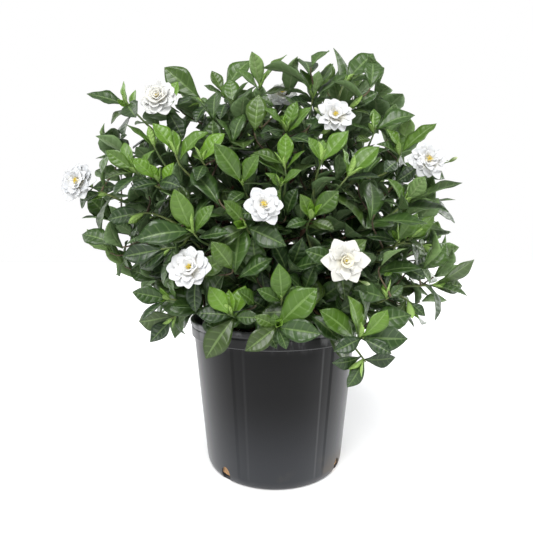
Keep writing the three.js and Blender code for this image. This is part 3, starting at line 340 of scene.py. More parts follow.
soil_mix, tree, shader = new_material("bark and peat", rough=0.95, specular=0.2)
place = object_place(tree)
crumbs = add(tree, "TexVoronoi", {"Vector": place, "Scale": 260}).outputs["Color"]
crumb_tone = split(tree, crumbs)["X"]
height = split(tree, place)["Z"]
low = falling(tree, height, 0.01, 0.04)
barky = stepped(tree, plus(tree, crumb_tone, times(tree, low, 0.6)), 0.35, 1.0)
feed(shader, "Base Color", mixed(tree, barky, SOIL_DARK, SOIL_TAN))
relief = plus(tree, crumb_tone, noisy(tree, 500))
raise_relief(shader, 0.8, 0.0015, relief)
soil = add_piece("soil_bed", soil_shape, soil_mix)
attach(soil, "root")
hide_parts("soil")

# Nuggets of bark and a few grains of perlite lie loose on top of the bed. Each is a rough, flat
# lump with a brown of its own. The grains are small and white.
CHIPS = 420
CHIP_LENGTHS = (0.005, 0.016)
CHIP_WIDTHS = (0.22, 0.45)  # half of a chip, as a share of its length
CHIP_DEPTHS = (0.14, 0.3)
CHIP_ROUGHNESS = 0.07
CHIP_BROWN = (0.045, 0.022, 0.012, 1)
CHIP_TAN = (0.36, 0.21, 0.11, 1)
CHIP_GRAIN = (0.02, 0.012, 0.008, 1)
PERLITE_SHARE = 0.12
PERLITE_LENGTH = 0.004
PERLITE_WHITE = (0.75, 0.73, 0.70, 1)

chance = random.Random(11)
chips = bmesh.new()
chip_tone = chips.verts.layers.float_color.new("tone")
for _ in range(CHIPS):
    away = CROWN_HOLE + 0.008 + (soil_wall_top - CROWN_HOLE - 0.018) * chance.random() ** 0.6
    bearing = chance.uniform(0, tau)
    x, y = away * cos(bearing), away * sin(bearing)
    perlite = chance.random() < PERLITE_SHARE
    length = PERLITE_LENGTH if perlite else chance.uniform(*CHIP_LENGTHS)
    half_sizes = [length / 2, *[length * chance.uniform(*limits) for limits in (CHIP_WIDTHS, CHIP_DEPTHS)]]
    flat = Matrix.Diagonal((*half_sizes, 1))
    turn = (Matrix.Rotation(chance.uniform(0, tau), 4, "Z")
            @ Matrix.Rotation(chance.uniform(-0.3, 0.3), 4, "Y")
            @ Matrix.Rotation(chance.uniform(-0.4, 0.4), 4, "X"))
    lifted = Matrix.Translation((x, y, soil_top(x, y) + length * 0.1))
    chip = bmesh.ops.create_icosphere(chips, subdivisions=1, radius=1, matrix=lifted @ turn @ flat)
    tone = (1, 1, 1, 1) if perlite else (chance.uniform(0, 0.6), 0, 0, 1)
    for corner in chip["verts"]:
        corner.co += Vector([chance.uniform(-1, 1) for _ in range(3)]) * length * CHIP_ROUGHNESS
        corner[chip_tone] = tone


def tone_of(tree):
    """The three parts of the tone that each corner was given."""
    tone = add(tree, "Attribute", attribute_name="tone").outputs["Vector"]
    return split(tree, tone)


chip_bark, tree, shader = new_material("bark nuggets", rough=0.85)
tone = tone_of(tree)
brown = mixed(tree, tone["X"], CHIP_BROWN, CHIP_TAN)
grain = noisy(tree, 300, 4, (1, 1, 0.4))
brown = mixed(tree, times(tree, grain, 0.5), brown, CHIP_GRAIN)
feed(shader, "Base Color", mixed(tree, tone["Y"], brown, PERLITE_WHITE))
raise_relief(shader, 0.6, 0.0008, grain)
bark_chips = add_piece("bark_chips", chips, chip_bark)
bark_chips.data.set_sharp_from_angle(angle=radians(35))
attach(bark_chips, "root")

# The wood is one growth: a root crown, main limbs and branches, brown and ridged below and
# thinner towards the leafy shoots.
WOOD_DARK = (0.060, 0.034, 0.022, 1)
WOOD_LIGHT = (0.22, 0.12, 0.08, 1)
WOOD_PATCH = (0.16, 0.10, 0.06, 1)


def copy_of(node):
    """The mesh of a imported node, with its corners joined."""
    shape = bmesh.new()
    shape.from_mesh(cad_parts[node].data)
    bmesh.ops.remove_doubles(shape, verts=shape.verts, dist=2e-6)
    return shape


def rounded(piece, fatten):
    """Rounds a piece off, and grows it by what that takes away."""
    smooth = piece.modifiers.new("rounded", "SUBSURF")
    smooth.levels = smooth.render_levels = 2
    grow = piece.modifiers.new("grown", "DISPLACE")
    grow.strength = fatten
    grow.mid_level = 0


wood_bark, tree, shader = new_material("gardenia bark", rough=0.8, specular=0.3)
ridges = noisy(tree, 160, 4, (1, 1, 0.18))
patches = noisy(tree, 30)
bark_colour = mixed(tree, stepped(tree, ridges, 0.35, 0.65), WOOD_DARK, WOOD_LIGHT)
bark_colour = mixed(tree, stepped(tree, patches, 0.5, 0.7), bark_colour, WOOD_PATCH)
feed(shader, "Base Color", bark_colour)
raise_relief(shader, 0.8, 0.0012, ridges)
wood_shape = copy_of("woody_stems")
wood_points = [corner.co.copy() for corner in wood_shape.verts]
wood = add_piece("woody_limbs", wood_shape, wood_bark)
rounded(wood, 0.0005)
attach(wood, "root")
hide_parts("woody_stems")

# The leaves are elliptic and glossy, each on a short stalk, quilted between six or seven pairs
# of arched side veins. Old ones are dark green, and the young ones at the tips yellow-green.
LEAF_COLUMNS = 6
LEAF_ROWS = 14  # two for each pair of side veins
LEAF_THICK = 0.0005
PLAIN_LEAF = (1.15, 1.05)  # fullness and leanness of the frame's own leaves
LEAF_FULLNESS = (1.08, 1.38)  # the greater, the nearer to its tip a leaf is widest
LEAF_LEANNESS = (0.85, 1.15)  # the smaller, the fuller towards both ends
LEAF_WIDENING = 1.2
TIP_CROWDING = 1.45  # the greater, the closer together the rows towards the tip
VEIN_SWEEP = 0.5  # how far the side veins run forward on their way to the edge
QUILT_DEPTH = 0.020  # shares of the leaf's half-width
EDGE_WAVE = 0.13
STALK_HALF = 0.0007
LEAF_DARK = (0.009, 0.025, 0.0075, 1)
LEAF_GREEN = (0.029, 0.068, 0.011, 1)
LEAF_OLIVE = (0.048, 0.079, 0.012, 1)
LEAF_YOUNG = (0.135, 0.28, 0.016, 1)
LEAF_VEIN = (0.28, 0.42, 0.14, 1)
UNDERSIDE = (0.13, 0.21, 0.085, 1)
UNDERSIDE_YOUNG = (0.28, 0.44, 0.10, 1)
UNDERSIDE_VEIN = (0.38, 0.46, 0.24, 1)

# A blade as the frame holds it: where it starts and ends, the directions across it and up from
# it, how far its middle rises above the straight line, its half-width and its fold.
Blade = namedtuple("Blade", "base tip side up rise half fold")


def line_of(blade):
    return blade.tip - blade.base


def neighbours(corner):
    return [edge.other_vert(corner) for edge in corner.link_edges]


def sections_below(tip):
    """The sections of a blade from tip to root, as edges and ridges."""
    above = [tip]
    edges = [corner for corner in neighbours(tip) if len(corner.link_edges) == 4]
    ridges = [corner for corner in neighbours(tip) if corner not in edges]
    sections = []
    while True:
        sections.append((edges, ridges))
        known = above + edges + ridges
        lower = [[corner for corner in neighbours(edge) if corner not in known] for edge in edges]
        if any(len(found) != 1 for found in lower):
            return sections
        lower_edges = [found[0] for found in lower]
        lower_ridges = [next(corner for corner in neighbours(ridge) if corner not in known + lower_edges)
                        for ridge in ridges]
        above = edges + ridges
        edges, ridges = lower_edges, lower_ridges


def middle_of(corners):
    return sum((corner.co for corner in corners), Vector()) / len(corners)


def outline(share, fullness, leanness):
    """Half-width of a blade from its foot to its tip, as a share of its greatest."""
    return max(sin(pi * share ** fullness), 0) ** leanness


def cut_blades(shape, fullness, leanness):
    """Cuts the blades off a copied node, closes it and returns what they were."""
    tips = []
    for corner in shape.verts:
        around = neighbours(corner)
        slim = [other for other in around if len(other.link_edges) == 4]
        if len(around) == 4 and len(slim) == 2 and slim[0] not in neighbours(slim[1]):
            tips.append(corner)
    blades = []
    doomed = set(tips)
    for tip in tips:
        *sections, root = sections_below(tip)
        base = middle_of(root[0] + root[1])
        stops = [tip.co, *[middle_of(ridges) for _, ridges in sections], base]
        steps = [(after - stop).length for stop, after in zip(stops, stops[1:])]
        shares = [1 - sum(steps[:k + 1]) / sum(steps) for k in range(len(sections))]
        share = min(shares, key=lambda value: abs(value - 0.5))
        edges, ridges = sections[shares.index(share)]
        line = tip.co - base
        across = edges[0].co - edges[1].co
        side = (across - across.project(line)).normalized()
        lift = middle_of(edges) - middle_of(ridges)
        up = side.cross(line).normalized()
        if up.dot(lift) < 0:
            side, up = -side, -up
        rise = (middle_of(ridges) - base).dot(up) / (4 * share * (1 - share))
        half = across.length / 2
        greatest = half / outline(share, fullness, leanness)
        blades.append(Blade(base, tip.co.copy(), side, up, rise, greatest, lift.length / half))
        doomed.update(corner for section in sections for corner in section[0] + section[1])
    bmesh.ops.delete(shape, geom=list(doomed), context="VERTS")
    bmesh.ops.holes_fill(shape, edges=shape.edges, sides=4)
    return blades


def new_sheets():
    """An empty shape for leaves or petals, with a UV map and tones."""
    shape = bmesh.new()
    shape.loops.layers.uv.new("UVMap")
    shape.verts.layers.float_color.new("tone")
    return shape


def lay_sheet(shape, tone, columns, rows, point_at):
    """Lays a sheet. Its points are given across, from -1 to 1, and along, from 0 to 1."""
    sheet = bmesh.ops.create_grid(shape, x_segments=columns, y_segments=rows, size=1, calc_uvs=True)
    tones = shape.verts.layers.float_color["tone"]
    for corner in sheet["verts"]:
        corner.co = point_at(corner.co.x, (corner.co.y + 1) / 2)
        corner[tones] = (*tone, 1)


def marks_on(blade):
    """Points spread over a blade."""
    line = line_of(blade)
    return [blade.base + line * share + blade.side * (blade.half * across)
            + blade.up * (blade.rise * 4 * share * (1 - share))
            for share in (0.3, 0.55, 0.8, 0.98) for across in (-0.6, 0, 0.6)]


def kept_inside(point):
    """The point, moved inside the frame's box where a leaf just reaches past it."""
    return Vector([min(max(part, low + LEAF_THICK), high - LEAF_THICK)
                   for part, low, high in zip(point, cad_low, cad_high)])


def lay_leaf(shape, blade, young, chance, columns=LEAF_COLUMNS, rows=LEAF_ROWS):
    """Lays one leaf on a blade, with its own waves, twist and tone."""
    line = line_of(blade)
    wave = EDGE_WAVE * chance.uniform(0.4, 1.3)
    waves = chance.uniform(1.2, 2.4)
    phase = chance.uniform(0, tau)
    droop = chance.uniform(0, 0.08) * line.length
    twist = chance.uniform(-0.12, 0.12)
    fullness = chance.uniform(*LEAF_FULLNESS)
    leanness = chance.uniform(*LEAF_LEANNESS)

    def point_at(across, share):
        out = abs(across)
        swollen = 1 if round(share * LEAF_ROWS) % 2 else -0.6
        share = 1 - (1 - share) ** TIP_CROWDING
        reach = share + VEIN_SWEEP * out ** 1.3 * share * (1 - share)
        full = outline(reach, fullness, leanness)
        half = max(LEAF_WIDENING * blade.half * full, STALK_HALF * (1 - 0.8 * share))
        quilt = QUILT_DEPTH * half * swollen * 4 * out * (1.15 - out) if rows == LEAF_ROWS else 0
        rise = blade.rise * 4 * reach * (1 - reach) - droop * reach ** 4 * 0.5
        rise += half * (blade.fold * out ** 1.2 + twist * across * reach + quilt)
        swing = phase + waves * tau * reach + (across > 0) * 1.7
        rise += half * wave * out ** 2 * sin(swing)
        return kept_inside(blade.base + line * reach + blade.side * (across * half) + blade.up * rise)

    lay_sheet(shape, (young, chance.random(), chance.random()), columns, rows, point_at)


def thickened(piece, thickness):
    """Gives sheets their thickness. The undersides take the second material."""
    thick = piece.modifiers.new("thickness", "SOLIDIFY")
    thick.thickness = thickness
    thick.material_offset = 1


# Masks on a leaf's own UV map: side veins, midrib and the swelling between veins.
masks = bpy.data.node_groups.new("leaf veins", "ShaderNodeTree")
masks.interface.new_socket("Map", in_out="INPUT", socket_type="NodeSocketVector")
for name in ("Vein", "Rib", "Swelling"):
    masks.interface.new_socket(name, in_out="OUTPUT", socket_type="NodeSocketFloat")
given = masks.nodes.new("NodeGroupInput")
result = masks.nodes.new("NodeGroupOutput")
place = split(masks, given.outputs[0])
out = times(masks, worked(masks, "ABSOLUTE", worked(masks, "SUBTRACT", place["X"], 0.5)), 2.0)
away = worked(masks, "PINGPONG", times(masks, place["Y"], LEAF_ROWS / 2), 0.5)
away = times(masks, away, 2.0)
inside = falling(masks, out, 0.72, 1.0)
vein = falling(masks, away, 0.04, 0.30)
swelling = worked(masks, "POWER", away, 0.6)
masks.links.new(times(masks, vein, inside), result.inputs["Vein"])
masks.links.new(falling(masks, out, 0.05, 0.13), result.inputs["Rib"])
masks.links.new(times(masks, swelling, inside), result.inputs["Swelling"])


def leaf_material(name, dark, green, olive, young, vein_tint, least_rough, **settings):
    """One face of a leaf. Its tone holds how young it is and two chance values."""
    material, tree, shader = new_material(name, **settings)
    on_leaf = add(tree, "UVMap", uv_map="UVMap").outputs[0]
    veins = add(tree, "Group", {0: on_leaf}, node_tree=masks).outputs
    tone = tone_of(tree)
    mottled = noisy(tree, 45)
    greener = plus(tree, times(tree, tone["Y"], 0.75), times(tree, mottled, 0.3))
    colour = mixed(tree, greener, dark, green)
    sallow = times(tree, stepped(tree, tone["Z"], 0.6, 0.95), 0.6)
    colour = mixed(tree, sallow, colour, olive)
    colour = mixed(tree, tone["X"], colour, young)
    veined = worked(tree, "MAXIMUM", times(tree, veins["Vein"], 0.20), times(tree, veins["Rib"], 0.60))
    tinted = mixed(tree, 0.5, colour, vein_tint)
    feed(shader, "Base Color", mixed(tree, veined, colour, tinted))
    feed(shader, "Roughness", plus(tree, least_rough, times(tree, mottled, 0.12)))
    sunk_rib = times(tree, veins["Rib"], 0.8)
    pores = times(tree, noisy(tree, 900, 2), 0.12)
    relief = worked(tree, "SUBTRACT", veins["Swelling"], sunk_rib)
    raise_relief(shader, 0.7, 0.0008, plus(tree, relief, pores))
    return material


leaf_upper = leaf_material(
    "leaf upper face", LEAF_DARK, LEAF_GREEN, LEAF_OLIVE, LEAF_YOUNG, LEAF_VEIN, 0.33,
    specular=0.4, **{"Coat Weight": 0.12, "Coat Roughness": 0.2})
leaf_under = leaf_material(
    "leaf underside", UNDERSIDE, UNDERSIDE, UNDERSIDE, UNDERSIDE_YOUNG, UNDERSIDE_VEIN, 0.52,
    specular=0.35)

# The green twigs under the leaves are smooth and turn paler in patches.
TWIG_GREEN = (0.07, 0.12, 0.035, 1)
TWIG_PALE = (0.16, 0.20, 0.06, 1)

green_twig, tree, shader = new_material("green twig", rough=0.5, specular=0.4)
patches = stepped(tree, noisy(tree, 40), 0.35, 0.65)
feed(shader, "Base Color", mixed(tree, patches, TWIG_GREEN, TWIG_PALE))
raise_relief(shader, 0.4, 0.0004, noisy(tree, 500))

# How young the upright leaves of each shoot are, from 0, old and dark, to 1, new and bright.
YOUNG_SHOOTS = {
    "top_left": 0.3, "crown_left": 0.45, "crown_right": 0.3, "top_right": 0.2, "right_shoulder": 0.6,
    "right_middle": 0.4, "upper_middle": 0.6, "middle": 0.95, "middle_right": 0.85, "middle_left": 0.85,
    "left_shoulder": 0.65, "left_middle": 1.0, "centre_left": 0.4, "left_face": 0.45, "left_side": 0.3,
    "left_low": 0.25, "over_rim_left": 0.85, "over_rim_middle": 0.6, "over_rim_right": 0.65,
    "right_edge": 0.3, "right_face": 0.6, "right_inner": 0.2, "bloom_upper_left": 1.0,
}
YOUNG_ELSEWHERE = 0.35
TIP_GROUP = 0.020  # leaves that start this near each other belong to one tip
NEW_LEAVES = 3
NEW_LEAF_HALF = 0.17  # shares of the leaf's length
NEW_LEAF_SAG = 0.04
NEW_LEAF_FOLD = 0.5
NEW_LEAF_LENGTHS = (0.011, 0.030)


def tips_of(blades):
    """The place and direction of each tip that leaves stand round."""
    groups = []
    for blade in blades:
        near = [group for group in groups if (group[0].base - blade.base).length < TIP_GROUP]
        if near:
            near[0].append(blade)
        else:
            groups.append([blade])
    found = []
    for group in groups:
        lines = [line_of(blade).normalized() for blade in group]
        if len(group) > 1:
            middle = sum((blade.base for blade in group), Vector()) / len(group)
            found.append((middle, sum(lines, Vector((0, 0, 0.4))).normalized()))
    return found


def outward(axis, bearing):
    """The direction square to an axis at a bearing round it."""
    return Matrix.Rotation(bearing, 3, axis) @ axis.orthogonal().normalized()


def new_blades(tip, axis, chance):
    """Small narrow leaves that have just opened at a tip."""
    start = chance.uniform(0, tau)
    found = []
    for index in range(NEW_LEAVES):
        out = outward(axis, start + index * tau / NEW_LEAVES)
        angle = chance.uniform(0.15, 0.55)
        heading = axis * cos(angle) + out * sin(angle)
        up = axis * sin(angle) - out * cos(angle)
        size = chance.uniform(*NEW_LEAF_LENGTHS)
        found.append(Blade(tip, tip + heading * size, heading.cross(up), up,
                           -NEW_LEAF_SAG * size, NEW_LEAF_HALF * size, NEW_LEAF_FOLD))
    return found


chance = random.Random(23)
blade_marks = []  # points on each leaf and petal, for later leaves to stay clear of
shoot_tips = []
for node in sorted(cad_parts):
    if not node.startswith("leaves_"):
        continue
    shoot = node.removeprefix("leaves_")
    twig_shape = copy_of(node)
    blades = cut_blades(twig_shape, *PLAIN_LEAF)
    leaves = new_sheets()
    for blade in blades:
        upright = ramp(line_of(blade).normalized().z, 0, 0.9)
        young = YOUNG_SHOOTS.get(shoot, YOUNG_ELSEWHERE) * upright ** 1.5 * chance.uniform(0.6, 1)
        lay_leaf(leaves, blade, young, chance)
        blade_marks += marks_on(blade)
    for tip, axis in tips_of(blades):
        shoot_tips.append(tip)
        for blade in new_blades(tip, axis, chance):
            lay_leaf(leaves, blade, chance.uniform(0.7, 1), chance, columns=4, rows=6)
    wood_points += [corner.co.copy() for corner in twig_shape.verts]
    foliage = add_piece("foliage_" + shoot, leaves, leaf_upper, leaf_under)
    thickened(foliage, LEAF_THICK)
    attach(foliage, "root")
    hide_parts(node)
    twig = add_piece("twig_" + shoot, twig_shape, green_twig)
    rounded(twig, 0.0005)
    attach(twig, "root")
    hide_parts(node)

# Each bloom has waxy white petals in two or three layers on a short tube, each petal tucked under
# its neighbour. In the fullest blooms more small petals stand curled round the middle.
PLAIN_PETAL = (1.9, 0.7)  # fullness and leanness of the frame's own petals
PETAL_COLUMNS = 8
PETAL_ROWS = 9
CURL_ROWS = 5
PETAL_THICK = 0.0006
PETAL_FOOT_HALF = 0.0042
PETAL_LEAST_HALF = 0.0012
PETAL_WAVE = 0.15
PETAL_CUP = 0.12
PETAL_WHITE = (0.705, 0.713, 0.72, 1)
PETAL_DIM = (0.655, 0.665, 0.68, 1)
PETAL_CREAM = (0.76, 0.69, 0.44, 1)
# Painted shade: the grey that some petals are darkened towards.
PETAL_PAINTED_SHADE = (0.51, 0.525, 0.55, 1)

# How pointed the petals of a bloom are, how cream they get, how far painted shade greys them,
# how long the petals between its outer ones are against those, and the rings of curled petals in
# its middle: how many petals, how far they stand from the middle, and how tall they are.
Bloom = namedtuple("Bloom", "pointed cream grey between curls")
BLOOMS = {
    "upper_left": Bloom(0.35, 0.5, 0.1, 0.9, [
        (3, 0.0022, 0.0075), (4, 0.0050, 0.0085), (5, 0.0085, 0.0085)]),
    "upper_right": Bloom(0.9, 0.15, 0, 0.97, [(5, 0.0060, 0.0060)]),
    "far_left": Bloom(0.65, 0.1, 1, 0.85, [(6, 0.0085, 0.0040)]),
    "centre": Bloom(0.55, 0.1, 0.2, 0.82, [(6, 0.0085, 0.0030)]),
    "low_left": Bloom(0.6, 0.15, 0.1, 0.95, [(4, 0.0050, 0.0065), (5, 0.0085, 0.0070)]),
    "low_right": Bloom(1.1, 1.0, 0.1, 0.72, [(3, 0.0024, 0.0070), (4, 0.0055, 0.0075)]),
    "far_right": Bloom(1.0, 0.1, 0.2, 0.9, [(6, 0.0085, 0.0035)]),
    "crown": Bloom(0.2, 0.2, 0, 0.85, [(4, 0.0050, 0.0060)]),
}
OUTER_SHARE = 0.85  # petals as long as this share of the longest are outer ones
BETWEEN_LIFT = 0.0008
BETWEEN_SLOPE = 0.10


def pointed_outline(share):
    """Half-width of a petal that draws out to a point."""
    return (share / 0.6) ** 0.8 if share < 0.6 else (max(1 - share, 0) / 0.4) ** 0.75


def lay_petal(shape, blade, bloom, chance):
    """Lays one petal on a blade. Its rows crowd towards the outer end."""
    line = line_of(blade) * chance.uniform(0.88, 1.08)
    phase = chance.uniform(0, tau)
    waves = chance.uniform(1.3, 2.2)
    wave = PETAL_WAVE * chance.uniform(0.5, 1.4)
    pointed = min(bloom.pointed * chance.uniform(0.7, 1.3), 1)
    curl_back = chance.uniform(-0.25, 0.1)
    lean = chance.uniform(-0.14, 0.14)

    def point_at(across, share):
        share = 1 - (1 - share) ** 1.6
        width = outline(share, *PLAIN_PETAL) * (1 - pointed) + 0.85 * pointed_outline(share) * pointed
        half = max(blade.half * width, PETAL_FOOT_HALF * (1 - share) ** 2,
                   PETAL_LEAST_HALF * (1 - 0.7 * pointed * share))
        out = abs(across)
        ruffle = wave * out ** 2 * sin(phase + waves * tau * share + (across > 0) * 2.1)
        end_wave = 0.04 * sin(across * 6 + phase) * ramp(share, 0.6, 1) * (1 - pointed)
        rise = blade.rise * 4 * share * (1 - share) + curl_back * blade.half * ramp(share, 0.5, 1.2)
        rise += half * (blade.fold * out + PETAL_CUP * out ** 2 + ruffle)
        side = blade.side * (across * half + lean * blade.half * share * share)
        return blade.base + line * (share + end_wave * 0.6) + side + blade.up * rise

    # The second part of the tone is painted shade, drawn at random up to the bloom's share.
    tone = (chance.random(), chance.random() * bloom.grey, bloom.cream * 0.4)
    lay_sheet(shape, tone, PETAL_COLUMNS, PETAL_ROWS, point_at)


def petals_between(blades, heart, facing, reach):
    """Blades that fill the gaps between the outer petals."""
    longest = max(line_of(blade).length for blade in blades)
    outer = [blade for blade in blades if line_of(blade).length > OUTER_SHARE * longest]
    across_axis = outward(facing, 0)
    up_axis = facing.cross(across_axis)

    def bearing(blade):
        out = blade.tip - heart
        return atan2(out.dot(up_axis), out.dot(across_axis))

    outer.sort(key=bearing)
    found = []
    for one, other in zip(outer, outer[1:] + outer[:1]):
        lines = (line_of(one), line_of(other))
        base = (one.base + other.base) / 2 + facing * BETWEEN_LIFT
        size = (lines[0].length + lines[1].length) / 2 * reach
        heading = (sum(lines, Vector()).normalized() + facing * BETWEEN_SLOPE).normalized()
        up = (facing - facing.project(heading)).normalized()
        rise, half, fold = [(mine + theirs) / 2 for mine, theirs in zip(one[4:], other[4:])]
        found.append(Blade(base, base + heading * size, heading.cross(up), up, rise, half, fold))
    return found


def lay_curl(shape, heart, facing, ring, turn, bloom, chance):
    """Lays one small petal that wraps round part of a bloom's middle."""
    count, away, tall = ring
    wrap = tau / count * chance.uniform(1.15, 1.4)
    flare = chance.uniform(0.25, 0.6)
    dip = chance.uniform(0.15, 0.35)

    def point_at(across, share):
        out = outward(facing, turn + across * wrap / 2)
        radius = away * (0.55 + 0.5 * share + flare * share ** 3 + 0.10 * across)
        height = tall * share * (1 - dip * across * across) * (1 + 0.06 * sin(across * 5 + turn))
        return heart + out * radius + facing * height

    tone = (chance.random(), chance.random() * bloom.grey, bloom.cream)
    lay_sheet(shape, tone, PETAL_COLUMNS, CURL_ROWS, point_at)


petal_white, tree, shader = new_material("petal", specular=0.3, **{
    "Subsurface Weight": 0.2, "Subsurface Scale": 0.003, "Subsurface Radius": (1, 0.95, 0.85)})
on_petal = add(tree, "UVMap", uv_map="UVMap").outputs[0]
along = split(tree, on_petal)["Y"]
tone = tone_of(tree)
at_base = times(tree, falling(tree, along, 0.05, 0.5), 0.5)
creamy = worked(tree, "MAXIMUM", at_base, times(tree, tone["Z"], 0.6))
colour = mixed(tree, tone["X"], PETAL_WHITE, PETAL_DIM)
# Painted shade: petals are greyed at random up to each bloom's share, most in the far left bloom, in place
# of shading on their white.
colour = mixed(tree, tone["Y"], colour, PETAL_PAINTED_SHADE)
feed(shader, "Base Color", mixed(tree, creamy, colour, PETAL_CREAM))
ribbed = noisy(tree, 9, 3, (2.6, 0.5, 1), on_petal)
feed(shader, "Roughness", plus(tree, 0.45, times(tree, ribbed, 0.15)))
raise_relief(shader, 0.35, 0.0008, ribbed)

bloom_hearts = {}
between_chance = random.Random(41)
for name, bloom in BLOOMS.items():
    tube_shape = copy_of("petals_" + name)
    blades = cut_blades(tube_shape, *PLAIN_PETAL)
    facing = sum((line_of(blade) for blade in blades), Vector()).normalized()
    stamens = copy_of("stamens_" + name)
    lowest = min(corner.co.dot(facing) for corner in stamens.verts)
    middle = middle_of(stamens.verts)
    heart = middle + facing * (lowest - middle.dot(facing))
    stamens.free()
    bloom_hearts[name] = (heart, facing)
    petals = new_sheets()
    for blade in blades:
        lay_petal(petals, blade, bloom, chance)
        blade_marks += marks_on(blade)
    for blade in petals_between(blades, heart, facing, bloom.between):
        lay_petal(petals, blade, bloom, between_chance)
    for ring in bloom.curls:
        start = chance.uniform(0, tau)
        for index in range(ring[0]):
            turn = start + index * tau / ring[0]
            lay_curl(petals, heart, facing, ring, turn, bloom, chance)
    corolla = add_piece("corolla_" + name, petals, petal_white, petal_white)
    thickened(corolla, PETAL_THICK)
    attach(corolla, "root")
    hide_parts("petals_" + name)
    tube = add_piece("tube_" + name, tube_shape, petal_white)
    rounded(tube, 0.0004)
    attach(tube, "root")
    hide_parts("petals_" + name)

# In the throat of each bloom stands a thick ridged yellow stigma, and six narrow tan-yellow
# anthers bend out from round it over the petals.
STIGMA_HALF = 0.0014
STIGMA_HEIGHT = 0.0062
ANTHERS = 6
ANTHER_LENGTH = 0.0026
ANTHER_HALF = 0.0009
STIGMA_YELLOW = (0.70, 0.56, 0.09, 1)
ANTHER_TAN = (0.58, 0.41, 0.06, 1)

anther_skin, tree, shader = new_material("anther and stigma", rough=0.6, specular=0.3)
pollen = stepped(tree, noisy(tree, 420), 0.4, 0.62)
feed(shader, "Base Color", mixed(tree, pollen, STIGMA_YELLOW, ANTHER_TAN))
raise_relief(shader, 0.6, 0.0003, noisy(tree, 1500, 2))

for name, (heart, facing) in bloom_hearts.items():
    club = bmesh.new()
    bmesh.ops.create_uvsphere(club, u_segments=20, v_segments=10, radius=1)
    for corner in club.verts:
        bearing = atan2(corner.co.y, corner.co.x)
        away = hypot(corner.co.x, corner.co.y) * STIGMA_HALF * (1 + 0.1 * sin(5 * bearing))
        out = outward(facing, bearing)
        corner.co = heart + out * away + facing * STIGMA_HEIGHT * (corner.co.z + 1) / 2
    for index in range(ANTHERS):
        out = outward(facing, tau * (index + chance.uniform(-0.2, 0.2)) / ANTHERS)
        side = facing.cross(out)
        lift = chance.uniform(0.3, 0.9)
        length = ANTHER_LENGTH * chance.uniform(0.8, 1.1)
        anther = bmesh.ops.create_uvsphere(club, u_segments=8, v_segments=8, radius=1)
        for corner in anther["verts"]:
            along = (corner.co.z + 1) / 2
            corner.co = (heart + out * (STIGMA_HALF + length * along) + side * corner.co.x * ANTHER_HALF
                         + facing * (0.55 * STIGMA_HEIGHT + lift * length * along * (1.1 - along)
                                     + 0.6 * ANTHER_HALF * corner.co.y))
    bmesh.ops.recalc_face_normals(club, faces=club.faces)
    stamen = add_piece("anthers_" + name, club, anther_skin)
    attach(stamen, "root")
    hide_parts("stamens_" + name)

# Some blooms have an unopened bud beside them, slim, ribbed and twisted. It is green at its foot
# and paler at its tip, and grows on a thin stalk of its own from behind the bloom.
BUDS = {
    "far_right": (0.2385, -0.132, 0.4765), "low_right": (0.112, -0.178, 0.314),
    "upper_right": (0.0566, -0.120, 0.5445),
}
BUD_LENGTH = 0.013
BUD_HALF = 0.0026
BUD_STALK = 0.0008
BUD_ROOT = 0.016  # how far behind the bloom's heart the stalk starts
BUD_GREEN = (0.09, 0.15, 0.03, 1)
BUD_PALE = (0.42, 0.48, 0.26, 1)

bud_skin, tree, shader = new_material("flower bud", rough=0.4)
streaks = noisy(tree, 300)
streaked = plus(tree, tone_of(tree)["X"], times(tree, streaks, 0.3))
pale = stepped(tree, streaked, 0.5, 1.2)
feed(shader, "Base Color", mixed(tree, pale, BUD_GREEN, BUD_PALE))


def new_stalks(name, half, roundness, material):
    """An empty curve piece for round stalks with closed ends."""
    curve = bpy.data.curves.new(name, "CURVE")
    curve.dimensions = "3D"
    curve.bevel_depth = half
    curve.bevel_resolution = roundness
    curve.use_fill_caps = True
    curve.materials.append(material)
    return new_object(name, curve)


def add_stalk(piece, spots, sizes=(1, 1, 1, 1)):
    """Adds a stalk from the first spot to the last, bent towards the others."""
    line = piece.data.splines.new("NURBS")
    line.points.add(len(spots) - 1)
    line.use_endpoint_u = True
    for point, spot, size in zip(line.points, spots, sizes):
        point.co = (*spot, 1)
        point.radius = size
    return line


for name, place in BUDS.items():
    heart, facing = bloom_hearts[name]
    middle = Vector(place)
    root = heart - facing * BUD_ROOT
    line = middle - root
    heading = (line.normalized() + Vector((0, 0, 0.4))).normalized()
    bud_shape = bmesh.new()
    tone_layer = bud_shape.verts.layers.float_color.new("tone")
    bmesh.ops.create_uvsphere(bud_shape, u_segments=20, v_segments=12, radius=1)
    for corner in bud_shape.verts:
        along = (corner.co.z + 1) / 2
        bearing = atan2(corner.co.y, corner.co.x)
        ribs = 1 + 0.14 * cos(5 * (bearing - 1.5 * along))
        swell = 0.45 + 1.1 * along * (1.3 - along)
        away = hypot(corner.co.x, corner.co.y) * BUD_HALF * ribs * swell
        corner.co = middle + heading * BUD_LENGTH * (along - 0.5) + outward(heading, bearing) * away
        corner[tone_layer] = (along, 0, 0, 1)
    bud = add_piece("bud_" + name, bud_shape, bud_skin)
    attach(bud, "root")

    foot = middle - heading * BUD_LENGTH * 0.42
    stalk_piece = new_stalks("bud_stalk_" + name, BUD_STALK, 2, green_twig)
    add_stalk(stalk_piece, (root, root + line * 0.4 - facing * 0.004, foot - heading * 0.006, foot))
    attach(stalk_piece, "root")

